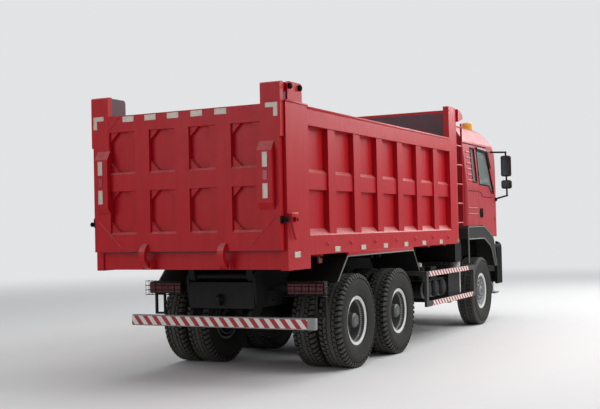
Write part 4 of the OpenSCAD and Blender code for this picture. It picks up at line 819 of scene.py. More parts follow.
class TIPPER_OT_tyres(bpy.types.Operator):
    """Ten tyres with ringed sidewalls: plain shoulders in front, lugs on the driven axles"""
    bl_idname = "tipper.tyres"
    bl_label = "Tyres"

    def execute(self, context):
        lugged = carve_tyre(LUG_GAPS)
        plain = carve_tyre(())
        for node, body, station, middles in TYRES:
            first = plain if station == FRONT_AXLE else lugged
            twins = [twin_of(first, Matrix.Translation((station, y, AXLE_Z))) for y in middles]
            piece = fit(joined(twins), node + "_tread", body, finish("rubber"), 28)
            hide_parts(node)
        bpy.data.objects.remove(lugged)
        bpy.data.objects.remove(plain)
        return {"FINISHED"}


# Wheel fittings

HAND_HOLES = 10
HOLE_RING_R = 0.208
HOLE_R = 0.0185
# Depth of the disc behind the rim's face at the hand holes, and its slope there: outwards, along the axle
DISC_DEPTH = 0.0385
DISC_SLOPE = (0.68, 0.73)
HUB_BOLTS = 8
# Section of a rim lip: radius, distance out from the rim's face
RIM_LIP = [(0.2460, -0.056), (0.2462, -0.030), (0.2472, -0.026), (0.2560, 0.000), (0.2660, 0.004),
           (0.2720, 0.001), (0.2790, 0.006), (0.2870, 0.010), (0.2940, 0.009), (0.2975, 0.003),
           (0.2975, -0.003), (0.2860, -0.0005), (0.2630, -0.0005), (0.2625, -0.010), (0.2468, -0.050),
           (0.2468, -0.056), (0.2460, -0.056)]
# Each row: body, side, station, outer faces of the rim and of the hub cap, radius of the ring of hub bolts
WHEELS = [
    ("wheel_fl", 1, FRONT_AXLE, 1.136, 1.1518, 0.030),
    ("wheel_fr", -1, FRONT_AXLE, 1.136, 1.1518, 0.030),
    ("wheel_ml", 1, MID_AXLE, 1.186, 1.183, 0.052),
    ("wheel_mr", -1, MID_AXLE, 1.186, 1.183, 0.052),
    ("wheel_rl", 1, REAR_AXLE, 1.186, 1.183, 0.052),
    ("wheel_rr", -1, REAR_AXLE, 1.186, 1.183, 0.052),
]


def spokes(count, shift=0.0):
    """Unit vectors spread evenly round an axle, turned on by a share of their spacing."""
    turns = [2 * math.pi * (i + shift) / count for i in range(count)]
    return [Vector((math.cos(turn), 0, math.sin(turn))) for turn in turns]


def hand_hole_shade(station, face, side):
    """Dark discs at the bottoms of the hand holes in the disc of a front wheel: painted shade in the holes.
    """
    outwards, along = DISC_SLOPE
    shade_discs = []
    for spoke in spokes(HAND_HOLES, 0.5):
        spot = Vector((station, side * (face - DISC_DEPTH), AXLE_Z)) + spoke * HOLE_RING_R
        slope = spoke * outwards + Vector((0, side * along, 0))
        shade_discs.append(rod(spot - slope * 0.012, spot - slope * 0.005, HOLE_R, 20, 0.001))
    return joined(shade_discs)


class TIPPER_OT_wheel_fittings(bpy.types.Operator):
    """Rolled rim lips, dark discs of painted shade in the hand holes of the front wheels and the bolts round
    the hubs
    """
    bl_idname = "tipper.wheel_fittings"
    bl_label = "Wheel fittings"

    def execute(self, context):
        for body, side, station, face, cap_face, reach in WHEELS:
            tag = body[-2:]
            ring = turned([(r, side * y) for r, y in RIM_LIP], (station, side * face, AXLE_Z), ACROSS, 64)
            fit(ring, "rim_lip_" + tag, body, finish("rim"), 40)
            if station == FRONT_AXLE:
                # Dark discs of painted shade in the hand holes
                holes = hand_hole_shade(station, face, side)
                fit(holes, "hand_hole_shade_" + tag, body, finish("plastic"))
            first = bolt_head((station, side * cap_face, AXLE_Z), (0, side, 0), 0.018)
            bolts = copies(first, [spoke * reach for spoke in spokes(HUB_BOLTS)])
            fit(joined(bolts), "hub_bolts_" + tag, body, finish("galvanised"))
        return {"FINISHED"}


# Fittings of the tipping body

# Outer face of the right-hand wall
WALL = -1.238
REFLECTOR_X = [-3.985, -2.974, -2.220, -1.508, -0.772, -0.061, 0.677, 1.560]
HOOK_X = [-3.240, -2.600, -1.860, -1.140, -0.420, 0.310, 0.980]
# Where the front post's edge is folded inwards, and how steeply
FOLD_X = 1.460
FOLD_SLOPE = 0.036 / 0.190


def side_reflectors():
    """Reflectors along the foot of the right-hand wall. The hindmost one sits lower, on the rear post."""
    plates = []
    for x in REFLECTOR_X:
        z = 1.405 if x == REFLECTOR_X[0] else 1.436
        plates.append(framed((x - 0.07, WALL - 0.007, z - 0.03), (x + 0.07, WALL + 0.001, z + 0.03), RIGHT))
    # The foremost one follows the folded edge of the front post
    for point in plates[-1].data.vertices:
        point.co.y += max(0, point.co.x - FOLD_X) * FOLD_SLOPE
    return joined(plates)


def wall_trim():
    """Bars along the top edges, a flange under the wall, and the lock's hood with its hand lever."""
    lever = [(-4.160, WALL - 0.024, 1.805), (-4.150, WALL - 0.024, 1.740), (-4.122, WALL - 0.026, 1.650),
             (-4.070, WALL - 0.030, 1.570)]
    return joined([block((-4.194, WALL - 0.008, 3.006), (-3.668, WALL + 0.002, 3.028), 0.004),
                   block((-3.672, WALL - 0.006, 2.976), (1.188, WALL + 0.002, 3.005), 0.005),
                   block((-2.670, WALL - 0.001, 1.353), (-0.490, WALL + 0.038, 1.392), 0.003),
                   block((-4.186, WALL - 0.050, 1.800), (-4.030, WALL + 0.002, 1.848), 0.010, 3),
                   block((-4.072, WALL - 0.042, 1.750), (-4.052, WALL + 0.002, 1.805), 0.004),
                   pipe(lever, 0.015, 12)])


def rope_hooks():
    """Hooks for the ropes of a cover, on the lower rail."""
    bend = [(0.001, 1.512), (-0.020, 1.510), (-0.024, 1.486), (-0.010, 1.476)]
    return joined([pipe([(x, WALL + y, z) for y, z in bend], 0.007, 8) for x in HOOK_X])


def wall_pins():
    """Eye of the lock, and the heads of the tailgate's pin and of its stop."""
    head = [(0, -0.004), (0.034, -0.004), (0.034, 0.012), (0.028, 0.020), (0.020, 0.024), (0, 0.024)]
    pins = [rod((-4.041, WALL - 0.044, 1.776), (-4.041, WALL + 0.002, 1.776), 0.022, 24, 0.006)]
    return joined(pins + [turned(head, (x, WALL, 3.180), RIGHT, 24) for x in (-4.080, -3.850)])


class TIPPER_OT_bed_fittings(bpy.types.Operator):
    """Reflectors, locks, rope hooks, marker lamps and pin heads on the tipping body"""
    bl_idname = "tipper.bed_fittings"
    bl_label = "Body fittings"

    def execute(self, context):
        on_both_sides(side_reflectors(), "bed_reflectors", "bed", "white reflector")
        on_both_sides(wall_trim(), "bed_trim", "bed", "enamel")
        on_both_sides(rope_hooks(), "rope_hooks", "bed", "enamel", 60)
        # Marker lamp under the wall, ahead of the rear post
        lamp = framed((-3.450, WALL + 0.010, 1.292), (-3.360, WALL + 0.030, 1.344), RIGHT, 0.006)
        on_both_sides(lamp, "side_marker", "bed", "red lens")
        stay = block((-3.440, WALL + 0.028, 1.296), (-3.370, WALL + 0.036, 1.364), 0.003)
        on_both_sides(stay, "side_marker_stay", "bed", "chassis")
        on_both_sides(wall_pins(), "bed_pins", "bed", "plastic")
        return {"FINISHED"}


# Rear faces of the tailgate: its frame, the boxes at its sides and its corner posts
GATE_FACE = -4.270
GATE_BOX = -4.334
GATE_POST = -4.272
# Reflectors along the top edge: their middles across the lorry, half length and heights
TOP_REFLECTOR_Y = (0.706, 0.408, 0.107, -0.197, -0.500)
TOP_REFLECTOR_HALF = 0.075
TOP_REFLECTOR_Z = (2.915, 2.978)
# Weld seams of the corner plates on the right: ends as distance from the middle and height
GATE_SEAMS = [((1.130, 1.800), (0.810, 1.490)), ((0.830, 2.978), (0.975, 2.830))]
SEAM_R = 0.005


def gate_plate(face, ys, low, high, proud=0.006):
    """A reflector on a rear face of the tailgate."""
    return framed((face - proud, ys[0], low), (face + 0.001, ys[1], high), BACK, proud - 0.001)


def white_gate_reflectors():
    """White reflectors along the top edge, on the side boxes and round the upper corners."""
    plates = []
    for y in TOP_REFLECTOR_Y:
        ends = (y - TOP_REFLECTOR_HALF, y + TOP_REFLECTOR_HALF)
        plates.append(gate_plate(GATE_FACE, ends, *TOP_REFLECTOR_Z))
    for side in (-1, 1):
        for low, high in ((2.325, 2.480), (2.000, 2.155)):
            plates.append(gate_plate(GATE_BOX, span_of(side, 1.030, 1.090), low, high))
        plates.append(gate_plate(GATE_POST, span_of(side, 1.045, 1.190), 2.945, 2.995, 0.005))
        plates.append(gate_plate(GATE_POST, span_of(side, 1.140, 1.190), 2.850, 2.944, 0.005))
    return joined(plates)


def red_gate_reflectors():
    """Red reflectors between the white ones on the side boxes."""
    return joined([gate_plate(GATE_BOX, span_of(side, 1.032, 1.088), 2.190, 2.292) for side in (-1, 1)])


def gate_seams():
    """Weld seams of the corner plates on the right."""
    x = GATE_FACE - 0.001
    return joined([pipe([(x, -y, z) for y, z in ends], SEAM_R, 8, False) for ends in GATE_SEAMS])


def gate_lock():
    """Lock bolt at the right-hand side, with its plate."""
    section = [(0, 0), (0.020, 0), (0.020, 0.052), (0.026, 0.054), (0.026, 0.078), (0.020, 0.084), (0, 0.084)]
    bolt = turned(section, (-4.236, -1.192, 1.775), RIGHT, 24)
    plate = block((-4.276, -1.206, 1.735), (-4.198, -1.194, 1.815), 0.004)
    return joined([bolt, plate])


class TIPPER_OT_gate_fittings(bpy.types.Operator):
    """Reflectors, weld seams and locks on the tailgate"""
    bl_idname = "tipper.gate_fittings"
    bl_label = "Tailgate fittings"

    def execute(self, context):
        fit(white_gate_reflectors(), "gate_reflectors", "gate", finish("white reflector"))
        fit(red_gate_reflectors(), "gate_reflectors_red", "gate", finish("red reflector"))
        on_both_sides(gate_seams(), "gate_seams", "gate", "enamel")
        on_both_sides(gate_lock(), "gate_lock", "gate", "plastic")
        return {"FINISHED"}


# Fittings of the chassis

# Outer face of the right-hand side guard, and rear face of the underrun bar
GUARD = -1.233
UNDERRUN = -3.5705


class TIPPER_OT_markings(bpy.types.Operator):
    """Striped tape on the side guards and the underrun bar, with the bar's zinc-coated channel"""
    bl_idname = "tipper.markings"
    bl_label = "Marking tape"

    def execute(self, context):
        strips = []
        for x0, x1, z0, z1 in ((0.130, 2.000, 0.952, 1.023), (0.270, 2.200, 0.527, 0.598)):
            strips.append(block((x0, GUARD - 0.003, z0), (x1, GUARD + 0.001, z1), 0.001, 1))
        on_both_sides(joined(strips), "guard_tape", "chassis", "side tape")
        channel = block((UNDERRUN, -1.2225, 0.5645), (-3.5050, 1.2225, 0.6925), 0.006, 3)
        fit(channel, "underrun_channel", "chassis", finish("galvanised"))
        bar = block((UNDERRUN - 0.003, -1.130, 0.577), (UNDERRUN + 0.001, 1.222, 0.680), 0.001, 1)
        fit(bar, "underrun_tape", "chassis", finish("rear tape"))
        return {"FINISHED"}


# Right-hand tail lamp: its rear face, its ends across the lorry and its lower and upper edge
LAMP_FACE = -3.240
LAMP_Y = (-1.190, -0.720)
LAMP_Z = (0.925, 1.065)
LENS_CELLS = 5
GUARD_WIRE = 0.004
UPRIGHT_WIRES = 12
LEVEL_WIRES = 4


def lamp_lenses():
    """A row of lens cells in the right-hand tail lamp."""
    low_y = LAMP_Y[0] + 0.012
    step = (LAMP_Y[1] - LAMP_Y[0] - 0.024) / LENS_CELLS
    lenses = []
    for i in range(LENS_CELLS):
        y = low_y + i * step
        lenses.append(framed((LAMP_FACE - 0.022, y + 0.004, LAMP_Z[0] + 0.014),
                             (LAMP_FACE + 0.002, y + step - 0.004, LAMP_Z[1] - 0.014), BACK, 0.008, 0.003))
    return joined(lenses)


def lamp_guard():
    """A cage of bent wire round the right-hand tail lamp."""
    foot = LAMP_FACE + 0.03
    front = LAMP_FACE - 0.055
    low, high = LAMP_Z[0] - 0.012, LAMP_Z[1] + 0.012
    right, left = LAMP_Y[0] - 0.02, LAMP_Y[1] + 0.02
    wires = []
    for i in range(UPRIGHT_WIRES):
        y = right + i * (left - right) / (UPRIGHT_WIRES - 1)
        wires.append(pipe([(foot, y, high), (front, y, high), (front, y, low), (foot, y, low)],
                          GUARD_WIRE * 0.8, 8, False))
    for i in range(LEVEL_WIRES):
        z = low + i * (high - low) / (LEVEL_WIRES - 1)
        outer = front - GUARD_WIRE
        wires.append(pipe([(foot, right, z), (outer, right, z), (outer, left, z), (foot, left, z)],
                          GUARD_WIRE, 8, False))
    return joined(wires)


class TIPPER_OT_tail_lamps(bpy.types.Operator):
    """Lenses and wire guards of the rear lamps"""
    bl_idname = "tipper.tail_lamps"
    bl_label = "Rear lamps"

    def execute(self, context):
        on_both_sides(lamp_lenses(), "lamp_lenses", "chassis", "red lens")
        on_both_sides(lamp_guard(), "lamp_guard", "chassis", "chassis")
        return {"FINISHED"}


# Air tanks, which lie across the lorry: stations, height, and their straps and valves across the lorry
AIR_TANK_X = (0.465, 0.798, 1.131)
AIR_TANK_Z = 0.740
AIR_STRAP_Y = (-1.040, -0.700)
VALVE_Y = -0.900
# Straps of the fuel tank: stations, and the shift and radius of their strands
FUEL_STRAP_X = (0.585, 1.255)
STRAND_SHIFTS = (-0.022, 0.0, 0.022)
STRAND_R = 0.011
# Section of the fuel tank's straps: Y and Z
FUEL_STRAP = [(0.478, 0.600), (0.478, 0.960), (0.500, 1.022), (0.560, 1.043), (1.050, 1.043), (1.120, 1.020),
              (1.158, 0.965), (1.163, 0.930), (1.163, 0.620), (1.150, 0.560), (1.110, 0.520), (1.050, 0.507),
              (0.560, 0.507), (0.500, 0.530), (0.478, 0.600)]
# Rolled edges in the side view, X and Z: over the rear wheels, round the front arch and round its opening
ARCH_Y = -1.234
MUDGUARD_EDGE = [(-2.976, 1.060), (-2.684, 1.343), (-0.487, 1.343), (-0.273, 1.060)]
ARCH_EDGE = [(2.048, 1.060), (2.048, 1.602), (2.062, 1.630), (2.085, 1.638), (2.920, 1.638), (2.972, 1.629),
             (3.400, 1.471), (3.462, 1.432), (3.500, 1.365), (3.634, 0.958)]
ARCH_OPENING = [(2.048, 1.443), (2.891, 1.443), (2.945, 1.438), (2.999, 1.423), (3.262, 1.322),
                (3.330, 1.281), (3.382, 1.225), (3.556, 0.958)]
# Liners inside the front wheels: faces across the lorry, and the ends and heights of their steps
LINER_Y = (-0.912, -0.900)
LINER_STEPS = [(2.060, 3.470, 1.150, 1.436), (2.060, 3.020, 1.430, 1.615), (3.010, 3.110, 1.430, 1.575),
               (3.465, 3.640, 1.150, 1.430)]
STAY_Y = -0.955
# Bolts in the frame rails: face of the right-hand web, first station, pitch, two heights and their stagger
RAIL_WEB = -0.430
RAIL_BOLTS = 22
RAIL_BOLT_X = -3.380
RAIL_BOLT_PITCH = 0.310
RAIL_BOLT_Z = (0.845, 1.015)
RAIL_BOLT_STAGGER = 0.06


def fit_air_tanks():
    """Straps with raised edges round the three air tanks, and valves with pipes that lead to the frame."""
    band = [(0.124, -0.016), (0.129, -0.016), (0.130, -0.012), (0.128, -0.010), (0.128, 0.010),
            (0.130, 0.012), (0.129, 0.016), (0.124, 0.016), (0.124, -0.016)]
    straps = [turned(band, (x, y, AIR_TANK_Z), ACROSS, 48) for x in AIR_TANK_X for y in AIR_STRAP_Y]
    fit(joined(straps), "air_tank_straps", "chassis", finish("galvanised"))
    valve = [(0, 0.0), (0.030, 0.0), (0.030, 0.022), (0.022, 0.026), (0.022, 0.060), (0.014, 0.066),
             (0, 0.066)]
    valves = []
    for x in AIR_TANK_X:
        valves.append(turned(valve, (x, VALVE_Y, 0.862), UP, 20))
        valves.append(pipe([(x, VALVE_Y, 0.915), (x, VALVE_Y, 0.960), (x + 0.030, -0.860, 0.980),
                            (x + 0.060, -0.700, 0.975), (x + 0.060, -0.430, 0.970)], 0.009, 8))
    fit(joined(valves), "tank_valves", "chassis", finish("grey chassis"))


def fit_fluid_tank():
    """A pale fluid tank with its cap, and the cap of the air dryer."""
    shell = [(0, 0.588), (0.090, 0.588), (0.098, 0.600), (0.098, 0.840), (0.095, 0.846), (0.098, 0.852),
             (0.098, 1.100), (0.088, 1.118), (0.045, 1.124), (0.045, 1.150), (0.040, 1.158), (0, 1.158)]
    cap = [(0, 1.070), (0.043, 1.070), (0.043, 1.110), (0.034, 1.128), (0.014, 1.136), (0, 1.136)]
    tank = turned(shell, (2.021, -0.990, 0), UP, 48)
    dryer = turned(cap, (0.445, -0.970, 0), UP, 32)
    fit(joined([tank, dryer]), "fluid_tank_shell", "chassis", finish("white plastic"))


def fit_fuel_tank():
    """Straps that follow the fuel tank's section, each of three strands, and a filler cap."""
    bands = []
    for x in FUEL_STRAP_X:
        for shift in STRAND_SHIFTS:
            bands.append(pipe([(x + shift, y, z) for y, z in FUEL_STRAP], STRAND_R, 8, False))
    fit(joined(bands), "fuel_tank_straps", "chassis", finish("chassis"))
    section = [(0, 0.0), (0.055, 0.0), (0.055, 0.016), (0.060, 0.018), (0.060, 0.040), (0.052, 0.046),
               (0, 0.046)]
    cap = turned(section, (0.420, 0.960, 1.036), UP, 32)
    fit(cap, "fuel_cap", "chassis", finish("plastic"))


def fit_arches():
    """Rolled edges of the wheel arches in a pale tone that paints their highlight, liners inside the front
    wheels, and the arches' stays.
    """
    edges = (("mudguard_bead", MUDGUARD_EDGE, 0.009), ("arch_bead", ARCH_EDGE, 0.012),
             ("arch_rim", ARCH_OPENING, 0.010))
    # The beads' pale tone is painted highlight along the rolled edges
    for name, line, radius in edges:
        bead = pipe([(x, ARCH_Y, z) for x, z in line], radius, 10, False)
        on_both_sides(bead, name, "chassis", "edge highlight plastic", 60)
    # The liner steps down under the sloping floor of the cab, and has a rib along it
    near, far = LINER_Y
    liner = [block((x0, near, z0), (x1, far, z1), 0.005) for x0, x1, z0, z1 in LINER_STEPS]
    liner.append(block((2.060, near - 0.002, 1.300), (3.400, far + 0.002, 1.312), 0.004))
    on_both_sides(joined(liner), "arch_liner", "chassis", "plastic")
    # A stay with its sleeve and its foot
    stay = [rod((2.300, STAY_Y, 1.170), (2.470, STAY_Y, 1.585), 0.016),
            rod((2.360, STAY_Y, 1.316), (2.420, STAY_Y, 1.463), 0.028),
            block((2.270, -0.985, 1.158), (2.330, -0.908, 1.176), 0.004)]
    on_both_sides(joined(stay), "arch_stay", "chassis", "galvanised")


def fit_steps():
    """Bright straps and two bright treads of the hanging steps."""
    step = [block((x, -1.088, 0.464), (x + 0.031, -1.057, 0.640), 0.006) for x in (3.687, 3.897)]
    step += [block((3.688, -1.184, z), (3.927, -1.036, z + 0.008), 0.003) for z in (0.462, 0.486)]
    on_both_sides(joined(step), "hanging_step", "chassis", "rim")


def fit_rail_bolts():
    """Bolts in two staggered rows along the webs of the frame rails."""
    spots = []
    for i in range(RAIL_BOLTS):
        x = RAIL_BOLT_X + i * RAIL_BOLT_PITCH
        spots += [Vector((x, 0, RAIL_BOLT_Z[0])), Vector((x + RAIL_BOLT_STAGGER, 0, RAIL_BOLT_Z[1]))]
    heads = copies(bolt_head((0, RAIL_WEB, 0), RIGHT), spots)
    on_both_sides(joined(heads), "rail_bolts", "chassis", "chassis")


class TIPPER_OT_chassis_fittings(bpy.types.Operator):
    """Tank straps and caps, edges and liners of the wheel arches, steps, and bolts along the frame"""
    bl_idname = "tipper.chassis_fittings"
    bl_label = "Chassis fittings"

    def execute(self, context):
        fit_air_tanks()
        fit_fluid_tank()
        fit_fuel_tank()
        fit_arches()
        fit_steps()
        fit_rail_bolts()
        return {"FINISHED"}


# Fittings of the cab

# Distances beside and ahead of the lorry from which lines are cast at the cab
CLEAR_Y = 2
CLEAR_X = 6
# Outlines in the side view, in metres: X and Z
DOOR_WINDOW = [(2.800, 2.345), (3.345, 2.330), (3.478, 2.212), (3.617, 2.210), (3.368, 2.919), (2.800, 2.940)]
QUARTER_WINDOW = [(2.450, 2.370), (2.670, 2.370), (2.670, 2.935), (2.450, 2.935)]
DEFLECTOR = [(2.790, 2.948), (3.372, 2.922), (3.480, 2.640)]
GUTTER = [(2.110, 2.996), (3.400, 2.996)]
CAB_BELT = [(2.160, 2.226), (2.700, 2.222)]
DOOR_BELT = [(2.745, 2.222), (2.860, 2.205), (2.945, 2.138), (3.490, 2.136)]
# Outline in the front view: Y and Z
SCREEN = [(-1.014, 2.221), (1.014, 2.221), (0.964, 2.909), (-0.964, 2.909)]
# Ribs behind the quarter window and edges of the locker pressing: their ends and heights
CAB_RIBS = 6
CAB_RIB_X = (2.190, 2.425)
CAB_RIB_Z = 2.395
CAB_RIB_PITCH = 0.092
LOCKER_X = (2.160, 2.690)
LOCKER_Z = (1.850, 1.945)
HANDLE_Z = 1.880
# Air intake of the bumper: slats and studs
SLATS = 4
SLAT_Z = 0.785
SLAT_PITCH = 0.048
STUD_Y = (-0.28, 0.0, 0.28)
# Corner panels: faces across and up, height of the middle, half height and depth of the slits
PANEL_COLUMNS = 10
PANEL_ROWS = 26
PANEL_Z = 1.785
PANEL_HALF_H = 0.275
SLIT_DEPTH = 0.016
# Each row: distance from the middle, height and radius of a front lamp, and the solid that it is set in
FRONT_LAMPS = [(0.805, 0.925, 0.068, "headlamps"), (0.965, 0.925, 0.068, "headlamps"),
               (0.700, 0.720, 0.052, "front_bumper")]


def on_solid(nodes, start, toward):
    """Where a line from start first meets one of some plain solids."""
    hits = []
    for node in nodes:
        met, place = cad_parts[node].ray_cast(Vector(start), Vector(toward).normalized())[:2]
        if met:
            hits.append(place)
    if not hits:
        raise RuntimeError(f"nothing of {nodes} lies on the line from {start}")
    return min(hits, key=lambda place: (place - Vector(start)).length)


def traced(nodes, spots, toward, lift=0.0, closed=False, step=0.04):
    """Points on the solids under a row of spots, filled in every step metres and lifted off by lift."""
    spots = [Vector(s) for s in spots]
    if closed:
        spots.append(spots[0])
    toward = Vector(toward).normalized()
    path = []
    for a, b in zip(spots, spots[1:]):
        count = max(1, round((b - a).length / step))
        path += [on_solid(nodes, a.lerp(b, i / count), toward) - toward * lift for i in range(count)]
    path.append(on_solid(nodes, spots[-1], toward) - toward * lift)
    return path


def seal(nodes, spots, toward, radius):
    """A rubber seal along a closed line on the cab."""
    return pipe(traced(nodes, spots, toward, 0.0, True), radius, 8, False)


def beside(outline, side):
    """Points of an outline in the side view, set out beside the lorry."""
    return [(x, side * CLEAR_Y, z) for x, z in outline]


def along_side(nodes, outline, side, radius, lift=0.0, sides=8):
    """A bead along a line of the side view, laid on the solids of one side and lifted off by lift."""
    path = traced(nodes, beside(outline, side), (0, -side, 0), lift)
    return pipe(path, radius, sides, False)


def corner_panel(side):
    """A moulded panel wrapped round a front corner of the cab, with a column of slits."""
    bpy.ops.object.select_all(action="DESELECT")
    bpy.ops.mesh.primitive_grid_add(x_subdivisions=PANEL_COLUMNS, y_subdivisions=PANEL_ROWS, size=2)
    panel = bpy.context.object
    # Lines from all round the corner, 36 to 60 degrees from straight out, press the grid on to it
    for point in panel.data.vertices:
        turn = math.radians(36 + 12 * (point.co.x + 1))
        out = Vector((math.sin(turn), side * math.cos(turn), 0))
        start = Vector((3.75, side * 0.75, PANEL_Z + PANEL_HALF_H * point.co.y)) + out * 1.5
        point.co = on_solid(["cab_front"], start, -out) + out * 0.010
    panel.data.update()
    bpy.ops.object.mode_set(mode="EDIT")
    bpy.ops.mesh.select_all(action="SELECT")
    bpy.ops.mesh.normals_make_consistent(inside=False)
    bpy.ops.object.mode_set(mode="OBJECT")
    clear_faces()
    for index, poly in enumerate(panel.data.polygons):
        row, column = divmod(index, PANEL_COLUMNS)
        inside = 1 <= column <= PANEL_COLUMNS - 2 and 1 <= row <= PANEL_ROWS - 2
        poly.select = inside and row % 4 in (1, 2)
    bpy.ops.object.mode_set(mode="EDIT")
    bpy.ops.mesh.extrude_region_shrink_fatten(TRANSFORM_OT_shrink_fatten={"value": -SLIT_DEPTH})
    leave_edit()
    shell = panel.modifiers.new("thickness", "SOLIDIFY")
    shell.thickness = 0.008
    shell.offset = -1
    bpy.ops.object.modifier_apply(modifier=shell.name)
    return panel


def fit_windows(side, tag, door, body):
    """Window seals, the rain deflector over the door window and the gutter along the roof seam."""
    inward = (0, -side, 0)
    rim = seal([door, "door_glass_" + tag], beside(DOOR_WINDOW, side), inward, 0.011)
    fit(rim, "door_seal_" + tag, body, finish("plastic"), 50)
    rim = seal(["cab_sides"], beside(QUARTER_WINDOW, side), inward, 0.010)
    fit(rim, "quarter_seal_" + tag, "cab", finish("plastic"), 50)
    blade = along_side([door], DEFLECTOR, side, 0.024, 0.012)
    fit(blade, "rain_deflector_" + tag, body, finish("gloss black"), 50)
    gutter = along_side(["cab_sides", "cab_roof", door], GUTTER, side, 0.008, 0.002)
    fit(gutter, "gutter_" + tag, "cab", finish("plastic"), 50)


def fit_pressings(side, tag, door, body):
    """Pressed ribs behind the quarter window, the belt line, and the edges of the locker pressing."""
    ribs = []
    for i in range(CAB_RIBS):
        z = CAB_RIB_Z + i * CAB_RIB_PITCH
        ribs.append(along_side(["cab_sides"], [(x, z) for x in CAB_RIB_X], side, 0.020, -0.010, 16))
    fit(joined(ribs), "cab_ribs_" + tag, "cab", finish("lacquer"), 60)
    line = along_side(["cab_sides"], CAB_BELT, side, 0.006)
    fit(line, "belt_line_" + tag, "cab", finish("plastic"), 50)
    line = along_side([door], DOOR_BELT, side, 0.006)
    fit(line, "door_line_" + tag, body, finish("plastic"), 50)
    edges = []
    for z in LOCKER_Z:
        edges.append(along_side(["cab_sides"], [(x, z) for x in LOCKER_X], side, 0.014, -0.006, 12))
    fit(joined(edges), "locker_edges_" + tag, "cab", finish("lacquer"), 60)


def fit_mirror_and_handle(side, tag, body):
    """Foot of the mirror's lower arm, the door handle and the mirror glass in its rims."""
    place = on_solid(["cab_front"], (3.735, side * CLEAR_Y, 2.105), (0, -side, 0))
    section = [(0, -0.010), (0.034, -0.010), (0.036, 0.004), (0.030, 0.024), (0.018, 0.034), (0, 0.036)]
    foot = turned(section, place, (0, side, 0), 24)
    fit(foot, "mirror_foot_" + tag, "cab", finish("plastic"), 60)
    # The handle is a bowl with a grip across it
    ys = span_of(side, 1.199, 1.2155)
    bowl = framed((2.772, ys[0], 1.792), (2.970, ys[1], 1.940), (0, side, 0), 0.016, 0.010)
    bend = [(2.786, 1.204), (2.800, 1.224), (2.870, 1.228), (2.940, 1.224), (2.956, 1.204)]
    grip = pipe([(x, side * y, HANDLE_Z) for x, y in bend], 0.011, 12)
    fit(joined([bowl, grip]), "door_handle_" + tag, body, finish("plastic"))
    ys = span_of(side, 1.320, 1.460)
    glass = []
    for low, high, face in ((2.520, 2.855, 3.805), (2.302, 2.428, 3.810)):
        glass.append(framed((face - 0.005, ys[0], low), (face + 0.002, ys[1], high), BACK, 0.006, 0.002))
    fit(joined(glass), "mirror_glass_" + tag, "cab", finish("mirror"))


def fit_screen():
    """Seal of the windscreen, and two wipers, each an arm and a blade."""
    rim = seal(["cab_front"], [(CLEAR_X, y, z) for y, z in SCREEN], BACK, 0.012)
    fit(rim, "screen_seal", "cab", finish("plastic"), 50)
    solids = ["cab_front", "cab_glass"]
    wipers = []
    for foot, tip in (((-0.10, 2.205), (-0.86, 2.330)), ((0.70, 2.205), (-0.04, 2.330))):
        middle = ((foot[0] + tip[0]) / 2, (foot[1] + tip[1]) / 2 + 0.01)
        heel = (foot[0] - 0.12, foot[1] + 0.09)
        arm = traced(solids, [(CLEAR_X, *foot), (CLEAR_X, *middle)], BACK, 0.030)
        blade = traced(solids, [(CLEAR_X, *heel), (CLEAR_X, *tip)], BACK, 0.016)
        wipers += [pipe(arm, 0.008, 8, False), pipe(blade, 0.007, 8, False)]
    fit(joined(wipers), "wipers", "cab", finish("plastic"), 50)


def fit_front_lamps():
    """Bright rims and covers of the headlamps and fog lamps."""
    rims = []
    covers = []
    for side in (-1, 1):
        for y, z, size, solid in FRONT_LAMPS:
            place = on_solid([solid], (CLEAR_X, side * y, z), BACK) + Vector((0.001, 0, 0))
            ring = [(size, -0.012), (size, 0.004), (size - 0.006, 0.008), (size - 0.012, 0.004),
                    (size - 0.014, -0.012), (size, -0.012)]
            rims.append(turned(ring, place, AHEAD, 40))
            cover = [(0, 0.006), (size * 0.5, 0.005), (size - 0.013, 0.001), (size - 0.013, -0.010),
                     (0, -0.010)]
            covers.append(turned(cover, place, AHEAD, 40))
    fit(joined(rims), "lamp_rims", "chassis", finish("chrome"))
    fit(joined(covers), "lamp_covers", "chassis", finish("clear lens"))


def fit_intake():
    """Slats before a back plate in the bumper's air intake, and the blank plate under it."""
    slats = [block((4.286, -0.585, 0.742), (4.304, 0.585, 0.988), 0.004)]
    for i in range(SLATS):
        z = SLAT_Z + i * SLAT_PITCH
        slats.append(block((4.302, -0.556, z), (4.336, 0.556, z + 0.014), 0.005))
    for y in STUD_Y:
        slats.append(block((4.302, y - 0.008, 0.762), (4.326, y + 0.008, 0.968), 0.004))
    fit(joined(slats), "intake_slats", "chassis", finish("plastic"))
    plate = framed((4.346, -0.260, 0.648), (4.356, 0.260, 0.758), AHEAD, 0.008, 0.002)
    fit(plate, "blank_plate", "chassis", finish("white plastic"))


class TIPPER_OT_cab_fittings(bpy.types.Operator):
    """Seals, pressings, handles, mirror glass, corner panels, wipers and lamps of the cab and bumper"""
    bl_idname = "tipper.cab_fittings"
    bl_label = "Cab fittings"

    def execute(self, context):
        for side, tag, door, body in ((-1, "right", "door_right", "door_r"),
                                      (1, "left", "door_left", "door_l")):
            fit_windows(side, tag, door, body)
            fit_pressings(side, tag, door, body)
            fit_mirror_and_handle(side, tag, body)
            fit(corner_panel(side), "corner_panel_" + tag, "cab", finish("plastic"))
        fit_screen()
        fit_front_lamps()
        fit_intake()
        return {"FINISHED"}


# Stage

# Distances from the lorry between which the floor fades into the backdrop
FADE = (7.0, 26.0)
# Camera solved from the photograph: its place, degrees turned left, tilted up and rolled, and focal length
CAMERA_PLACE = (-13.252, -5.97, 1.6915)
CAMERA_TURNS = (26.8365, 1.3284, -1.2774)
FOCAL_PX = 987.3
IMAGE_W_PX = 600


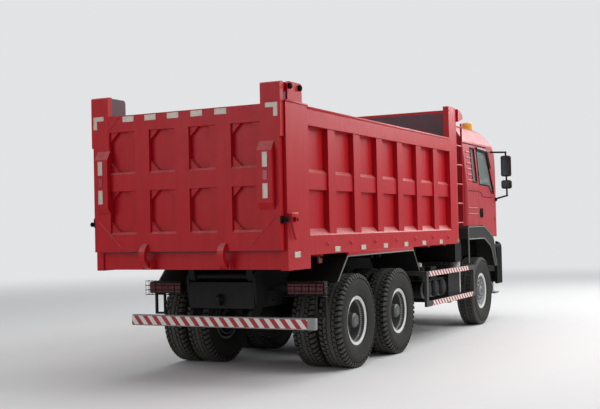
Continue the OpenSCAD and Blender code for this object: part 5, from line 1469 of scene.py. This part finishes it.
def make_floor():
    """A wide pale floor that fades into the backdrop."""
    bpy.ops.object.select_all(action="DESELECT")
    bpy.ops.mesh.primitive_plane_add(size=400, location=(0, 0, 0))
    floor = bpy.context.object
    floor.name = "studio_floor"
    made, tree, coords = start_material("Matt studio floor")
    speckle = add(tree, "ShaderNodeTexNoise", {"Scale": 3.0, "Detail": 3}, {"Vector": (coords, "Object")})
    tone = colours().floor
    low = [c * 0.96 for c in tone[:3]] + [1]
    mix = add(tree, "ShaderNodeMix", {"data_type": "RGBA", "A_Color": low, "B_Color": tone},
              {"Factor_Float": (speckle, "Fac")})
    matt = add(tree, "ShaderNodeBsdfPrincipled", {"Roughness": 0.9, "Specular IOR Level": 0.2},
               {"Base Color": (mix, "Result_Color")})
    # Far from the lorry the floor takes on the backdrop's own tone, so that no horizon shows
    away = add(tree, "ShaderNodeVectorMath", {"operation": "LENGTH"}, {"Vector": (coords, "Object")})
    fade = add(tree, "ShaderNodeMapRange",
               {"From Min": FADE[0], "From Max": FADE[1], "interpolation_type": "SMOOTHSTEP"},
               {"Value": (away, "Value")})
    glow = add(tree, "ShaderNodeEmission", {"Color": BACKDROP, "Strength": 1.0})
    path = add(tree, "ShaderNodeLightPath")
    seen = add(tree, "ShaderNodeMath", {"operation": "MULTIPLY"},
               {"Value": (fade, "Result"), "Value_001": (path, "Is Camera Ray")})
    blend = add(tree, "ShaderNodeMixShader",
                links={"Fac": (seen, "Value"), "Shader": (matt, "BSDF"), "Shader_001": (glow, "Emission")})
    add(tree, "ShaderNodeOutputMaterial", links={"Surface": (blend, "Shader")})
    floor.data.materials.append(made)


def make_lights():
    """A pale world, broad lamps over the right-hand side, the top and the front, and a weak fill behind."""
    world = bpy.data.worlds.new("Soft sky")
    bpy.context.scene.world = world
    world.use_nodes = True
    tree = world.node_tree
    tree.nodes.clear()
    path = add(tree, "ShaderNodeLightPath")
    lit = add(tree, "ShaderNodeBackground", {"Color": (0.93, 0.95, 1.0, 1), "Strength": 0.4})
    seen = add(tree, "ShaderNodeBackground", {"Color": BACKDROP, "Strength": 1.0})
    gloss = add(tree, "ShaderNodeMath", {"operation": "MAXIMUM"},
                {"Value": (path, "Is Camera Ray"), "Value_001": (path, "Is Transmission Ray")})
    mix = add(tree, "ShaderNodeMixShader", links={"Fac": (gloss, "Value"), "Shader": (lit, "Background"),
                                                  "Shader_001": (seen, "Background")})
    add(tree, "ShaderNodeOutputWorld", links={"Surface": (mix, "Shader")})
    # Each row: name, place, point aimed at, size in metres, power in watts
    lamps = [("key_sky", (2.0, -11.0, 10.0), (0, 0, 1.5), 9.0, 1150),
             ("top_sky", (0.0, 0.0, 13.0), (0, 0, 0), 11.0, 850),
             ("front_sky", (13.0, -5.0, 8.0), (3, 0, 2), 7.0, 900),
             ("rear_fill", (-13.0, 4.0, 5.0), (-3, 0, 1.5), 6.0, 230)]
    for name, place, aim, size, power in lamps:
        bpy.ops.object.light_add(type="AREA", location=place)
        lamp = bpy.context.object
        lamp.name = name
        lamp.data.size = size
        lamp.data.energy = power
        lamp.rotation_euler = (Vector(aim) - Vector(place)).to_track_quat("-Z", "Y").to_euler()


def make_camera():
    """The photograph's viewpoint."""
    turn, tilt, roll = (math.radians(a) for a in CAMERA_TURNS)
    ahead = Vector((math.cos(turn) * math.cos(tilt), math.sin(turn) * math.cos(tilt), math.sin(tilt)))
    right = ahead.cross(Vector(UP)).normalized()
    up = right.cross(ahead)
    right, up = right * math.cos(roll) + up * math.sin(roll), up * math.cos(roll) - right * math.sin(roll)
    bpy.ops.object.camera_add(location=CAMERA_PLACE)
    camera = bpy.context.object
    camera.rotation_euler = Matrix((right, up, -ahead)).transposed().to_euler()
    camera.data.sensor_width = 36
    camera.data.lens = FOCAL_PX * camera.data.sensor_width / IMAGE_W_PX
    camera.data.clip_end = 300
    scene = bpy.context.scene
    scene.camera = camera
    scene.view_settings.view_transform = "Standard"


class TIPPER_OT_stage(bpy.types.Operator):
    """Floor, soft light and the camera at the viewing angle of the photograph"""
    bl_idname = "tipper.stage"
    bl_label = "Stage"

    def execute(self, context):
        make_floor()
        make_lights()
        make_camera()
        return {"FINISHED"}


# Add-on

OPERATORS = [TIPPER_OT_finishes, TIPPER_OT_tyres, TIPPER_OT_wheel_fittings, TIPPER_OT_bed_fittings,
             TIPPER_OT_gate_fittings, TIPPER_OT_markings, TIPPER_OT_tail_lamps, TIPPER_OT_chassis_fittings,
             TIPPER_OT_cab_fittings, TIPPER_OT_stage]


class TIPPER_PT_panel(bpy.types.Panel):
    """Lists the dressing steps"""
    bl_idname = "TIPPER_PT_panel"
    bl_label = "Tipper"
    bl_space_type = "VIEW_3D"
    bl_region_type = "UI"
    bl_category = "Tipper"

    def draw(self, context):
        for step in OPERATORS:
            self.layout.operator(step.bl_idname)


CLASSES = [TipperColours, TipperSizes, *OPERATORS, TIPPER_PT_panel]


def register():
    for made in CLASSES:
        bpy.utils.register_class(made)
    bpy.types.Scene.tipper_colours = PointerProperty(type=TipperColours)
    bpy.types.Scene.tipper_sizes = PointerProperty(type=TipperSizes)


def unregister():
    del bpy.types.Scene.tipper_sizes
    del bpy.types.Scene.tipper_colours
    for made in reversed(CLASSES):
        bpy.utils.unregister_class(made)


def main():
    register()
    for step in OPERATORS:
        group, name = step.bl_idname.split(".")
        getattr(getattr(bpy.ops, group), name)()


if __name__ == "__main__":
    main()
